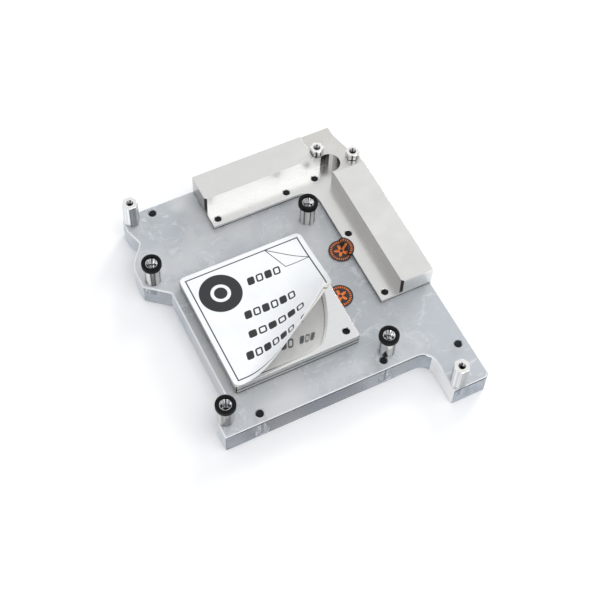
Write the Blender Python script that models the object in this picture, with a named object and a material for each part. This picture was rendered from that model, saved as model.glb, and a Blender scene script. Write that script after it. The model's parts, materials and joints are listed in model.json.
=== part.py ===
"""Water cooling monoblock for a mainboard, lying on its front face with its board side up.

Units are metres. The point (0, 0) is the middle of the processor's hole pattern, X and Y run along the
edges of the block, and Z rises from the front face that the block lies on.
"""

import math

import bmesh
import bpy
from mathutils import Matrix, Vector

# Fits
seat_gap = 0.0003
cutter_margin = 0.002

# Processor hole pattern and the plane of the mainboard above the body's top face
hole_spacing = 0.075
board_height = 0.014

# Clear body
body_thickness = 0.0115
front_margin = 0.008
waist_margin = 0.004
waist_relief = 0.0012
ear_margin = 0.0055
lower_ear_margin = 0.0038
ear_reach = 0.0085
foot_width = 0.0175
foot_length = 0.0215
foot_fillet = 0.006
foot_chamfer = 0.002
shoulder_drop = 0.0242
notch_margin = 0.0022
notch_drop = 0.0162
corner_boss_radius = 0.004
outline_radius = 0.0015
outline_sharp_radius = 0.0005
body_edge = 0.0003

# Processor cold plate
cpu_plate_from_holes = 0.0085
cpu_plate_height = 0.0062
cpu_plate_corner = 0.001
cpu_groove_height = 0.0004
cpu_groove_depth = 0.0006
cpu_screw_inset = 0.0045
fin_slot_count = 12
fin_slot_width = 0.0012
fin_slot_depth = 0.0024

# Voltage regulator cold plate, an L of two bars with a thin flange along their inner side
vrm_left = -0.0025
vrm_from_back_holes = 0.0126
vrm_from_right_holes = 0.0091
vrm_back_margin = 0.0008
vrm_right_margin = 0.0003
vrm_arm_end = -0.0158
vrm_flange_width = 0.0093
vrm_left_bar_width = 0.0138
vrm_right_bar_width = 0.0153
vrm_flange_height = 0.0024
vrm_board_gap = 0.0028
vrm_corner_step = 0.0008
vrm_corner_width = 0.0197
vrm_corner_length = 0.0247
vrm_inner_fillet = 0.008
vrm_end_chamfer = 0.001
vrm_notch_width = 0.0054
vrm_notch_short = 0.0028
vrm_notch_start = 0.0052
vrm_notch_length = 0.0151
pocket_radius = 0.005
pocket_from_bar = 0.0011
pocket_from_corner = 0.0046
vrm_screw_inset = 0.0034
vrm_screw_pitch = 0.034
vrm_corner_screw_rise = 0.0334
vrm_outer_screw_inset = 0.0036
rib_slot_width = 0.001
rib_slot_depth = 0.0012
rib_slot_pitch = 0.0016

# Seals and chambers
ring_thickness = 0.002
cpu_ring_inset = 0.005
cpu_ring_corner = 0.011
vrm_ring_from_screws = 0.005
vrm_ring_from_outer_screws = 0.0036
vrm_ring_end_inset = 0.0045
vrm_ring_corner = 0.003
chamber_inset = 0.006
chamber_depth = 0.004
fin_field_inset = 0.003
chamber_corner = 0.003
channel_wall = 0.001
channel_depth = 0.003
collector_width = 0.004
collector_length = 0.016
link_radius = 0.0022
link_wall = 0.001
link_end_inset = 0.0075
plug_radius = 0.0032
plug_length = 0.005
plug_edge = 0.0003
plug_socket_width = 0.0025
plug_socket_depth = 0.0024

# Ports on the front face
port_radius = 0.0059
port_floor_wall = 0.0013
inlet_throat_radius = 0.0035
outlet_throat_radius = 0.0018
outlet_from_end = 0.0115

# Jet pieces between the inlet and the fins
jet_plate_inset = 0.001
jet_plate_thickness = 0.0006
jet_insert_inset = 0.005
jet_insert_thickness = 0.0022
jet_slot_end_wall = 0.002
jet_slot_width = 0.002

# Fasteners
screw_radius = 0.0015
screw_head_radius = 0.00275
screw_head_height = 0.002
screw_recess = 0.0003
screw_edge = 0.0003
socket_width = 0.002
socket_depth = 0.0012
cpu_tip_depth = 0.001
flange_tip_depth = 0.0004
bar_tip_height = 0.006
body_screw_back_inset = 0.0037
body_screw_front_inset = 0.0045
body_screw_from_left_holes = 0.0137
body_screw_from_right_holes = 0.0033
body_screw_foot_inset = 0.0047
body_screw_foot_drop = 0.0021

# Standoffs
round_radius = 0.0035
round_thread_radius = 0.00165
round_collar_rim = 0.0002
round_collar_drop = 0.0003
round_funnel_depth = 0.0022
round_stud_radius = 0.002
round_stud_edge = 0.0004
round_edge = 0.0002
stud_length = 0.006
washer_thickness = 0.0028
washer_radius = 0.0044
washer_hole_radius = 0.00285
washer_edge = 0.0004
long_hex_width = 0.00635
short_hex_width = 0.0055
hex_thread_radius = 0.00125
hex_mouth_radius = 0.0017
hex_stud_radius = 0.0015
plate_stud_length = 0.004
hex_edge = 0.0005
crown_angle = math.radians(45)
thread_end_wall = 0.001
foot_standoff_inset = 0.0033
corner_standoff_from_holes = 0.00375
inner_standoff_from_corner = 0.003
inner_standoff_from_front = 0.0032
outer_standoff_inset = 0.003
outer_standoff_from_corner = 0.0054

# Film and seal labels
film_thickness = 0.0002
film_corner = 0.0015
film_fan_left = 0.004
film_fan_front = 0.009
film_fan_start = math.radians(48)
film_fan_turn = math.radians(94)
film_fan_steps = 12
label_radius = 0.00565
label_thickness = 0.0002
flange_label_reach = 0.0032
flange_label_y = 0.0157
plate_label_reach = 0.0032
plate_label_y = -0.0051
label_ramp = 0.0018
label_bend_radius = 0.0006

# Facets
quarter_steps = 5
small_segments = 12
round_segments = 24
arc_step = math.radians(90) / quarter_steps

# Derived heights, above the front face
body_top = body_thickness
board_plane = body_top + board_height
cpu_plate_top = body_top + cpu_plate_height
flange_top = body_top + vrm_flange_height
bar_top = board_plane - vrm_board_gap
corner_top = bar_top - vrm_corner_step
ring_groove_floor = body_top - ring_thickness - seat_gap
chamber_floor = body_top - chamber_depth
channel_floor = body_top - channel_depth
port_depth = chamber_floor - port_floor_wall
link_z = ring_groove_floor - link_wall - link_radius

# Derived sizes
half_spacing = hole_spacing / 2
cpu_plate_side = hole_spacing - 2 * cpu_plate_from_holes
cpu_half = cpu_plate_side / 2
cpu_ring_side = cpu_plate_side - 2 * cpu_ring_inset
chamber_side = cpu_ring_side - 2 * chamber_inset
fin_field_side = chamber_side - 2 * fin_field_inset
jet_plate_side = chamber_side - 2 * jet_plate_inset
jet_insert_width = chamber_side - 2 * jet_insert_inset
jet_slot_length = jet_insert_width - 2 * jet_slot_end_wall

# Derived places
vrm_flange_front = half_spacing + vrm_from_back_holes
vrm_flange_inner = half_spacing + vrm_from_right_holes
vrm_bar_front = vrm_flange_front + vrm_flange_width
vrm_bar_inner = vrm_flange_inner + vrm_flange_width
vrm_back = vrm_bar_front + vrm_left_bar_width
vrm_right = vrm_bar_inner + vrm_right_bar_width
body_back = vrm_back + vrm_back_margin
body_right = vrm_right + vrm_right_margin
body_front = -half_spacing - front_margin
foot_left = body_right - foot_width
foot_front = body_front - foot_length
waist_left = -cpu_half - waist_margin
waist_half_length = cpu_half - waist_relief
ear_left = -half_spacing - ear_margin
lower_ear_left = -half_spacing - lower_ear_margin
notch_left = -half_spacing + notch_margin
vrm_ring_inset = vrm_screw_inset + vrm_ring_from_screws
vrm_ring_outer_inset = vrm_outer_screw_inset + vrm_ring_from_outer_screws
vrm_corner_left = vrm_right - vrm_corner_width
vrm_corner_front = vrm_back - vrm_corner_length
pocket_centre = (vrm_bar_inner + pocket_from_bar, vrm_bar_front - pocket_from_corner)
vrm_channel_x = (vrm_flange_inner + vrm_ring_inset + vrm_right - vrm_ring_outer_inset) / 2
vrm_channel_y = (vrm_flange_front + vrm_ring_inset + vrm_back - vrm_ring_outer_inset) / 2
outlet_centre = (vrm_left + outlet_from_end, vrm_channel_y)
link_y = vrm_arm_end + link_end_inset + vrm_ring_end_inset
collector_x = (chamber_side - collector_width) / 2


def remove_startup_objects():
    for item in list(bpy.data.objects):
        bpy.data.objects.remove(item, do_unlink=True)


def make_material(name, colour, roughness, metallic=0.0, transmission=0.0):
    material = bpy.data.materials.new(name)
    material.use_nodes = True
    shader = material.node_tree.nodes["Principled BSDF"]
    shader.inputs["Base Color"].default_value = (*colour, 1.0)
    shader.inputs["Roughness"].default_value = roughness
    shader.inputs["Metallic"].default_value = metallic
    shader.inputs["Transmission Weight"].default_value = transmission
    return material


def mesh_data(name, mesh):
    data = bpy.data.meshes.new(name)
    mesh.to_mesh(data)
    mesh.free()
    return data


def add_object(name, mesh, material, parent, location=(0, 0, 0)):
    bmesh.ops.recalc_face_normals(mesh, faces=mesh.faces)
    return place_mesh(name, mesh_data(name, mesh), material, parent, location)


def place_mesh(name, data, material, parent, location):
    item = bpy.data.objects.new(name, data)
    bpy.context.scene.collection.objects.link(item)
    item.parent = parent
    item.location = location
    if material and not data.materials:
        data.materials.append(material)
    data.shade_smooth()
    data.set_sharp_from_angle(angle=math.radians(30))
    return item


def add_cutter(name, mesh, parent, location=(0, 0, 0)):
    cutter = add_object(name, mesh, None, parent, location)
    cutter.hide_render = True
    cutter.display_type = "WIRE"
    return cutter


def cut(item, cutter):
    boolean = item.modifiers.new(cutter.name, "BOOLEAN")
    boolean.operation = "DIFFERENCE"
    boolean.solver = "EXACT"
    boolean.object = cutter


def rounded(corners):
    """Outline through corners of (x, y, radius), each rounded by an arc."""
    outline = []
    for index, (x, y, radius) in enumerate(corners):
        corner = Vector((x, y))
        if radius == 0:
            outline.append(corner)
            continue
        back = (Vector(corners[index - 1][:2]) - corner).normalized()
        ahead = (Vector(corners[(index + 1) % len(corners)][:2]) - corner).normalized()
        half_angle = back.angle(ahead) / 2
        centre = corner + (back + ahead).normalized() * radius / math.sin(half_angle)
        first = corner + back * radius / math.tan(half_angle) - centre
        last = corner + ahead * radius / math.tan(half_angle) - centre
        turn = math.atan2(first.cross(last), first.dot(last))
        steps = max(2, round(abs(turn) / arc_step))
        for step in range(steps + 1):
            outline.append(centre + Matrix.Rotation(turn * step / steps, 2) @ first)
    return outline


def rectangle(width, depth, radius=0.0, centre=(0, 0)):
    left, right = centre[0] - width / 2, centre[0] + width / 2
    front, back = centre[1] - depth / 2, centre[1] + depth / 2
    corners = ((left, front), (right, front), (right, back), (left, back))
    return rounded([(x, y, radius) for x, y in corners])


def circle(radius, segments, centre=(0, 0), start=0.0):
    angles = [start + math.tau * step / segments for step in range(segments)]
    return [Vector((centre[0] + radius * math.cos(a), centre[1] + radius * math.sin(a))) for a in angles]


def extrude_outline(mesh, outline, low, high):
    base = mesh.faces.new([mesh.verts.new((x, y, low)) for x, y in outline])
    lifted = bmesh.ops.extrude_face_region(mesh, geom=[base])["geom"]
    moved = [part for part in lifted if isinstance(part, bmesh.types.BMVert)]
    bmesh.ops.translate(mesh, verts=moved, vec=(0, 0, high - low))


def prism(outline, low, high, edge=0.0):
    """Solid between two heights; edge is the width of the chamfer round its two faces."""
    mesh = bmesh.new()
    extrude_outline(mesh, outline, low, high)
    if edge:
        rims = [line for line in mesh.edges if abs(line.verts[0].co.z - line.verts[1].co.z) < edge]
        bmesh.ops.bevel(mesh, geom=rims, offset=edge, segments=1, affect="EDGES", profile=0.5, material=-1)
    return mesh


def prisms(outlines, low, high):
    mesh = bmesh.new()
    for outline in outlines:
        extrude_outline(mesh, outline, low, high)
    return mesh


def frame_prism(outer, inner, low, high):
    """Closed band between two outlines of as many points."""
    mesh = bmesh.new()
    loops = [[mesh.verts.new((x, y, z)) for x, y in outline]
             for outline, z in ((outer, low), (outer, high), (inner, high), (inner, low))]
    for first, second in zip(loops, loops[1:] + loops[:1]):
        for index in range(len(outer)):
            after = (index + 1) % len(outer)
            mesh.faces.new((first[index], first[after], second[after], second[index]))
    return mesh


def turned(profile, segments, closed=False):
    """Solid of revolution about Z from (radius, height) points."""
    mesh = bmesh.new()
    verts = [mesh.verts.new((radius, 0, height)) for radius, height in profile]
    pairs = list(zip(verts, verts[1:]))
    if closed:
        pairs.append((verts[-1], verts[0]))
    edges = [mesh.edges.new(pair) for pair in pairs]
    bmesh.ops.spin(mesh, geom=verts + edges, cent=(0, 0, 0), axis=(0, 0, 1), angle=math.tau, steps=segments)
    bmesh.ops.remove_doubles(mesh, verts=mesh.verts, dist=1e-6)
    return mesh


def wells(points, radius, low, high):
    return prisms([circle(radius, small_segments, point) for point in points], low, high)


def bored_cutter(points, low, high, radius, head_radius=None, head_depth=0.0):
    """Holes at all the points, each with a counterbore that opens at the low end."""
    profile = [(0, low - cutter_margin), (head_radius or radius, low - cutter_margin)]
    if head_radius:
        profile += [(head_radius, low + head_depth), (radius, low + head_depth)]
    profile += [(radius, high), (0, high)]
    mesh = bmesh.new()
    for x, y in points:
        data = mesh_data("hole", turned(profile, small_segments))
        data.transform(Matrix.Translation((x, y, 0)))
        mesh.from_mesh(data)
        bpy.data.meshes.remove(data)
    return mesh


def grown(radius):
    return radius + seat_gap


def standoff_points():
    return [(x * half_spacing, y * half_spacing) for x, y in ((-1, -1), (1, -1), (1, 1), (-1, 1))]


def cpu_screw_points():
    half = cpu_half - cpu_screw_inset
    return [(x * half, y * half) for x, y in ((-1, -1), (1, -1), (1, 1), (-1, 1))]


def flange_screw_points():
    row_y = vrm_flange_front + vrm_screw_inset
    row_x = vrm_flange_inner + vrm_screw_inset
    first_x = vrm_left + vrm_screw_inset
    first_y = vrm_arm_end + vrm_screw_inset
    return [
        (first_x, row_y),
        (first_x + vrm_screw_pitch, row_y),
        (row_x, first_y + vrm_screw_pitch + vrm_corner_screw_rise),
        (row_x, first_y + vrm_screw_pitch),
        (row_x, first_y),
    ]


def bar_screw_points():
    row_y = vrm_back - vrm_outer_screw_inset
    row_x = vrm_right - vrm_outer_screw_inset
    first_x = vrm_left + vrm_screw_inset
    first_y = vrm_arm_end + vrm_screw_inset
    return [
        (first_x, row_y),
        (first_x + vrm_screw_pitch, row_y),
        (row_x, first_y + vrm_screw_pitch),
        (row_x, first_y),
    ]


def body_screw_points():
    left = -half_spacing + body_screw_from_left_holes
    return [
        (left, body_front + body_screw_front_inset),
        (half_spacing - body_screw_from_right_holes, body_front + body_screw_front_inset),
        (body_right - body_screw_foot_inset, body_front - body_screw_foot_drop),
        (left, body_back - body_screw_back_inset),
    ]


def corner_standoff_point():
    return (-half_spacing + corner_standoff_from_holes, body_back - corner_boss_radius)


def foot_standoff_point():
    return (foot_left + foot_standoff_inset, foot_front + foot_standoff_inset)


def plate_standoff_points():
    return [
        (vrm_corner_left + inner_standoff_from_corner, vrm_bar_front + inner_standoff_from_front),
        (vrm_right - outer_standoff_inset, vrm_corner_front + outer_standoff_from_corner),
    ]


def body_outline():
    boss_left = corner_standoff_point()[0] - corner_boss_radius
    soft = outline_radius
    sharp = outline_sharp_radius
    return rounded([
        (lower_ear_left, body_front, sharp),
        (foot_left, body_front, foot_fillet),
        (foot_left, foot_front, sharp),
        (body_right - foot_chamfer, foot_front, 0),
        (body_right, foot_front + foot_chamfer, 0),
        (body_right, body_back, sharp),
        (boss_left, body_back, corner_boss_radius),
        (boss_left, body_back - 2 * corner_boss_radius, soft),
        (notch_left, body_back - notch_drop, soft),
        (ear_left + soft, body_back - shoulder_drop, 2 * soft),
        (ear_left, half_spacing + ear_reach, 2 * soft),
        (ear_left, half_spacing - soft, soft),
        (waist_left, waist_half_length, soft),
        (waist_left, -waist_half_length, soft),
        (lower_ear_left, -half_spacing + soft, soft),
    ])


def cpu_ring_path(offset):
    side = cpu_ring_side + 2 * offset
    return rectangle(side, side, cpu_ring_corner + offset)


def vrm_ring_path(offset):
    """L-shaped loop inside the plate's screws; a positive offset grows it."""
    left = vrm_left + vrm_ring_end_inset - offset
    front = vrm_flange_front + vrm_ring_inset - offset
    inner = vrm_flange_inner + vrm_ring_inset - offset
    back = vrm_back - vrm_ring_outer_inset + offset
    right = vrm_right - vrm_ring_outer_inset + offset
    end = vrm_arm_end + vrm_ring_end_inset - offset
    outside = vrm_ring_corner + offset
    inside = vrm_ring_corner - offset
    return rounded([
        (left, front, outside),
        (inner, front, inside),
        (inner, end, outside),
        (right, end, outside),
        (right, back, outside),
        (left, back, outside),
    ])


def vrm_channel_outline():
    return vrm_ring_path(-(ring_thickness / 2 + seat_gap + channel_wall))


def vrm_outline():
    return rounded([
        (vrm_left, vrm_flange_front, 0),
        (vrm_flange_inner, vrm_flange_front, vrm_inner_fillet),
        (vrm_flange_inner, vrm_arm_end, 0),
        (vrm_right, vrm_arm_end, 0),
        (vrm_right, vrm_back - vrm_notch_length, 0),
        (vrm_right - vrm_notch_short, vrm_back - vrm_notch_length, 0),
        (vrm_right - vrm_notch_width, vrm_back - vrm_notch_start, 0),
        (vrm_right - vrm_notch_width, vrm_back, 0),
        (vrm_left, vrm_back, 0),
    ])


def build_body(material, parent):
    body = add_object("acrylic_body", prism(body_outline(), 0, body_top, body_edge), material, parent)
    ring_half = ring_thickness / 2 + seat_gap
    above = body_top + cutter_margin

    cut(body, add_cutter("cpu_groove_cutter", frame_prism(
        cpu_ring_path(ring_half), cpu_ring_path(-ring_half), ring_groove_floor, above), parent))
    cut(body, add_cutter("vrm_groove_cutter", frame_prism(
        vrm_ring_path(ring_half), vrm_ring_path(-ring_half), ring_groove_floor, above), parent))

    chamber = rectangle(chamber_side, chamber_side, chamber_corner)
    cut(body, add_cutter("chamber_cutter", prism(chamber, chamber_floor, above), parent))
    cut(body, add_cutter("channel_cutter", prism(vrm_channel_outline(), channel_floor, above), parent))
    collector = rectangle(collector_width, collector_length, collector_width / 4, (collector_x, link_y))
    in_chamber = body_top - chamber_depth / 2
    in_channel = body_top - channel_depth / 2
    collector_floor = link_z - link_radius
    cut(body, add_cutter("collector_cutter", prism(collector, collector_floor, in_chamber), parent))

    reach = body_right + cutter_margin - collector_x
    plug_reach = plug_length + seat_gap + cutter_margin
    for name, radius, length in (
        ("link_cutter", link_radius, reach),
        ("plug_seat_cutter", grown(plug_radius), plug_reach),
    ):
        bore = turned([(0, 0), (radius, 0), (radius, length), (0, length)], small_segments)
        start = (body_right + cutter_margin - length, link_y, link_z)
        cutter = add_cutter(name, bore, parent, start)
        cutter.rotation_euler = (0, math.pi / 2, 0)
        cut(body, cutter)
    riser = wells([(vrm_channel_x, link_y)], link_radius - seat_gap, link_z, in_channel)
    cut(body, add_cutter("riser_cutter", riser, parent))

    for name, centre, throat, throat_top in (
        ("inlet_cutter", (0, 0), inlet_throat_radius, in_chamber),
        ("outlet_cutter", outlet_centre, outlet_throat_radius, in_channel),
    ):
        profile = [(0, -cutter_margin), (port_radius, -cutter_margin), (port_radius, port_depth),
                   (throat, port_depth), (throat, throat_top), (0, throat_top)]
        cut(body, add_cutter(name, turned(profile, round_segments), parent, (*centre, 0)))

    head_depth = screw_recess + screw_head_height + seat_gap
    through = cpu_screw_points() + flange_screw_points() + bar_screw_points() + body_screw_points()
    holes = bored_cutter(through, 0, above, grown(screw_radius), grown(screw_head_radius), head_depth)
    cut(body, add_cutter("screw_hole_cutter", holes, parent))

    blind_floor = body_top - stud_length - seat_gap
    holes = wells(standoff_points(), grown(round_stud_radius), blind_floor, above)
    cut(body, add_cutter("round_stud_cutter", holes, parent))
    hex_points = (corner_standoff_point(), foot_standoff_point())
    holes = wells(hex_points, grown(hex_stud_radius), blind_floor, above)
    cut(body, add_cutter("hex_stud_cutter", holes, parent))
    return body


def build_cpu_plate(material, parent):
    low = body_top + seat_gap
    plate = add_object("cpu_cold_plate", prism(
        rectangle(cpu_plate_side, cpu_plate_side, cpu_plate_corner), low, cpu_plate_top), material, parent)
    middle = (low + cpu_plate_top) / 2
    outside = cpu_plate_side + 2 * cutter_margin
    inside = cpu_plate_side - 2 * cpu_groove_depth
    cut(plate, add_cutter("edge_groove_cutter", frame_prism(
        rectangle(outside, outside, cpu_plate_corner), rectangle(inside, inside, cpu_plate_corner),
        middle - cpu_groove_height / 2, middle + cpu_groove_height / 2), parent))
    pitch = fin_field_side / fin_slot_count
    slots = [rectangle(fin_slot_width, fin_field_side, 0, ((step + 0.5) * pitch - fin_field_side / 2, 0))
             for step in range(fin_slot_count)]
    below = low - cutter_margin
    cut(plate, add_cutter("fin_slot_cutter", prisms(slots, below, low + fin_slot_depth), parent))
    holes = wells(cpu_screw_points(), grown(screw_radius), below, cpu_plate_top + cutter_margin)
    cut(plate, add_cutter("cpu_tapped_hole_cutter", holes, parent))
    return plate


def build_vrm_plate(material, parent):
    low = body_top + seat_gap
    above = bar_top + cutter_margin
    plate = add_object("vrm_cold_plate", prism(vrm_outline(), low, bar_top), material, parent)

    slope = vrm_end_chamfer + cutter_margin
    inside = [
        (vrm_left - cutter_margin, vrm_arm_end - cutter_margin),
        (vrm_bar_inner + slope, vrm_arm_end - cutter_margin),
        (vrm_bar_inner, vrm_arm_end + vrm_end_chamfer),
        (vrm_bar_inner, vrm_bar_front),
        (vrm_left + vrm_end_chamfer, vrm_bar_front),
        (vrm_left - cutter_margin, vrm_bar_front + slope),
    ]
    cut(plate, add_cutter("flange_level_cutter", prism(inside, flange_top, above), parent))
    pocket = prism(circle(pocket_radius, round_segments, pocket_centre), flange_top, above)
    cut(plate, add_cutter("pocket_cutter", pocket, parent))
    corner = [
        (vrm_corner_left, vrm_corner_front),
        (vrm_right + cutter_margin, vrm_corner_front),
        (vrm_right + cutter_margin, vrm_back + cutter_margin),
        (vrm_corner_left, vrm_back + cutter_margin),
    ]
    cut(plate, add_cutter("corner_level_cutter", prism(corner, corner_top, above), parent))

    channel_inset = ring_thickness / 2 + seat_gap + channel_wall
    first_x = vrm_left + vrm_ring_end_inset + channel_inset
    first_y = vrm_arm_end + vrm_ring_end_inset + channel_inset
    slots = []
    for side in (-0.5, 0.5):
        shift = side * rib_slot_pitch
        slots.append(rectangle(vrm_bar_inner - first_x, rib_slot_width, 0,
                               ((first_x + vrm_bar_inner) / 2, vrm_channel_y + shift)))
        slots.append(rectangle(rib_slot_width, vrm_bar_front - first_y, 0,
                               (vrm_channel_x + shift, (first_y + vrm_bar_front) / 2)))
    below = low - cutter_margin
    cut(plate, add_cutter("rib_slot_cutter", prisms(slots, below, low + rib_slot_depth), parent))

    holes = wells(flange_screw_points(), grown(screw_radius), below, above)
    cut(plate, add_cutter("flange_tapped_hole_cutter", holes, parent))
    bar_hole_top = body_top + bar_tip_height + seat_gap
    holes = wells(bar_screw_points(), grown(screw_radius), below, bar_hole_top)
    cut(plate, add_cutter("bar_tapped_hole_cutter", holes, parent))
    stud_floor = corner_top - plate_stud_length - seat_gap
    holes = wells(plate_standoff_points(), grown(hex_stud_radius), stud_floor, above)
    cut(plate, add_cutter("plate_stud_cutter", holes, parent))
    return plate


def build_o_ring(name, path, material, parent):
    curve = bpy.data.curves.new(name, "CURVE")
    curve.dimensions = "3D"
    curve.bevel_depth = ring_thickness / 2
    curve.bevel_resolution = 1
    spline = curve.splines.new("POLY")
    spline.points.add(len(path) - 1)
    for point, (x, y) in zip(spline.points, path):
        point.co = (x, y, 0, 1)
    spline.use_cyclic_u = True
    curve.materials.append(material)
    ring = bpy.data.objects.new(name, curve)
    bpy.context.scene.collection.objects.link(ring)
    ring.parent = parent
    ring.location = (0, 0, body_top - ring_thickness / 2)
    return ring


def build_jet(steel, plastic, parent):
    floor = chamber_floor + seat_gap
    insert_top = floor + jet_insert_thickness
    insert = add_object("jet_insert", prism(
        rectangle(jet_insert_width, jet_insert_width, chamber_corner), floor, insert_top), plastic, parent)
    sheet_low = insert_top + seat_gap
    sheet_high = sheet_low + jet_plate_thickness
    sheet = add_object("jet_plate", prism(
        rectangle(jet_plate_side, jet_plate_side, chamber_corner), sheet_low, sheet_high), steel, parent)
    below = floor - cutter_margin
    above = sheet_high + cutter_margin
    slot = rectangle(jet_slot_length, jet_slot_width, jet_slot_width / 3)
    slot_cutter = add_cutter("jet_slot_cutter", prism(slot, below, above), parent)
    cut(insert, slot_cutter)
    cut(sheet, slot_cutter)
    exit_y = (fin_field_side - jet_slot_width) / 2
    exits = [rectangle(jet_insert_width, jet_slot_width, 0, (0, side * exit_y)) for side in (-1, 1)]
    cut(sheet, add_cutter("exit_slot_cutter", prisms(exits, below, above), parent))


def screw_mesh(name, tip):
    """Socket head screw, head down, whose head rests in its counterbore."""
    low = screw_recess
    shoulder = low + screw_head_height
    edge = screw_edge
    profile = [
        (0, low),
        (screw_head_radius - edge, low),
        (screw_head_radius, low + edge),
        (screw_head_radius, shoulder),
        (screw_radius, shoulder),
        (screw_radius, tip - edge),
        (screw_radius - edge, tip),
        (0, tip),
    ]
    mesh = turned(profile, small_segments)
    bmesh.ops.recalc_face_normals(mesh, faces=mesh.faces)
    return mesh_data(name, mesh)


def build_screws(material, parent):
    groups = (
        ("body_screw", body_screw_points(), body_top),
        ("cpu_plate_screw", cpu_screw_points(), cpu_plate_top - cpu_tip_depth),
        ("flange_screw", flange_screw_points(), flange_top - flange_tip_depth),
        ("bar_screw", bar_screw_points(), body_top + bar_tip_height),
    )
    every_point = [point for group in groups for point in group[1]]
    hexagon = socket_width / math.sqrt(3)
    sockets = prisms([circle(hexagon, 6, point) for point in every_point],
                     screw_recess - cutter_margin, screw_recess + socket_depth)
    socket_cutter = add_cutter("socket_cutter", sockets, parent)
    for name, points, tip in groups:
        data = screw_mesh(name, tip)
        for number, (x, y) in enumerate(points, 1):
            screw = place_mesh(f"{name}_{number}", data, material, parent, (x, y, 0))
            cut(screw, socket_cutter)


def build_round_standoffs(metal, plastic, parent):
    foot = body_top + seat_gap
    washer_low = board_plane - washer_thickness
    shoulder = washer_low - seat_gap
    collar_radius = washer_hole_radius - seat_gap
    collar_top = board_plane - round_collar_drop
    stud_low = body_top - stud_length
    edge = washer_edge
    profile = [
        (0, stud_low),
        (round_stud_radius - round_stud_edge, stud_low),
        (round_stud_radius, stud_low + round_stud_edge),
        (round_stud_radius, foot),
        (round_radius, foot),
        (round_radius, shoulder - round_edge),
        (round_radius - round_edge, shoulder),
        (collar_radius, shoulder),
        (collar_radius, collar_top),
        (collar_radius - round_collar_rim, collar_top),
        (round_thread_radius, collar_top - round_funnel_depth),
        (round_thread_radius, foot + thread_end_wall),
        (0, foot + thread_end_wall),
    ]
    ring = [
        (washer_hole_radius, washer_low),
        (washer_radius - edge, washer_low),
        (washer_radius, washer_low + edge),
        (washer_radius, board_plane - edge),
        (washer_radius - edge, board_plane),
        (washer_hole_radius, board_plane),
    ]
    for number, (x, y) in enumerate(standoff_points(), 1):
        add_object(f"cpu_standoff_{number}", turned(profile, round_segments), metal, parent, (x, y, 0))
        washer = turned(ring, round_segments, closed=True)
        add_object(f"cpu_washer_{number}", washer, plastic, parent, (x, y, 0))


def build_hex_standoff(name, point, turn, seat, width, stud, material, parent):
    """Hexagonal spacer with a stud below and a tapped hole above."""
    foot = seat + seat_gap
    stud_low = seat - stud
    across_corners = width / math.sqrt(3)
    six_sides = prism(circle(across_corners, 6, start=turn), foot, board_plane)
    barrel = add_object(name, six_sides, material, parent, (*point, 0))
    inner = across_corners - hex_edge
    outer = across_corners + cutter_margin
    fall = (outer - inner) * math.tan(crown_angle)
    above = board_plane + cutter_margin
    crown = turned([(inner, board_plane), (outer, board_plane - fall), (outer, above), (inner, above)],
                   round_segments, closed=True)
    cut(barrel, add_cutter(f"{name}_crown_cutter", crown, parent, (*point, 0)))
    bore = turned([
        (0, foot + thread_end_wall),
        (hex_thread_radius, foot + thread_end_wall),
        (hex_thread_radius, board_plane - (hex_mouth_radius - hex_thread_radius)),
        (hex_mouth_radius, board_plane),
        (hex_mouth_radius, board_plane + cutter_margin),
        (0, board_plane + cutter_margin),
    ], small_segments)
    cut(barrel, add_cutter(f"{name}_bore_cutter", bore, parent, (*point, 0)))
    shank = turned([
        (0, stud_low),
        (hex_stud_radius, stud_low),
        (hex_stud_radius, foot + thread_end_wall / 2),
        (0, foot + thread_end_wall / 2),
    ], small_segments)
    stud_piece = add_cutter(f"{name}_stud", shank, parent, (*point, 0))
    union = barrel.modifiers.new("stud", "BOOLEAN")
    union.operation = "UNION"
    union.solver = "EXACT"
    union.object = stud_piece


def build_link_plug(material, parent):
    edge = plug_edge
    length = plug_length - 2 * seat_gap
    profile = [(0, 0), (plug_radius - edge, 0), (plug_radius, edge), (plug_radius, length - edge),
               (plug_radius - edge, length), (0, length)]
    plug = add_object("link_plug", turned(profile, small_segments), material, parent,
                      (body_right - plug_length, link_y, link_z))
    plug.rotation_euler = (0, math.pi / 2, 0)
    hexagon = circle(plug_socket_width / math.sqrt(3), 6)
    socket_floor = length - plug_socket_depth
    recess = prism(hexagon, socket_floor, length + cutter_margin)
    socket = add_cutter("plug_socket_cutter", recess, parent, plug.location)
    socket.rotation_euler = plug.rotation_euler
    cut(plug, socket)


def sheet_object(name, mesh, thickness, material, parent):
    item = place_mesh(name, mesh_data(name, mesh), material, parent, (0, 0, 0))
    skin = item.modifiers.new("thickness", "SOLIDIFY")
    skin.thickness = thickness
    skin.offset = 1
    skin.use_even_offset = True
    return item


def split(mesh, point, normal):
    bmesh.ops.bisect_plane(mesh, geom=mesh.verts[:] + mesh.edges[:] + mesh.faces[:], dist=1e-7,
                           plane_co=point, plane_no=normal)


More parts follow.
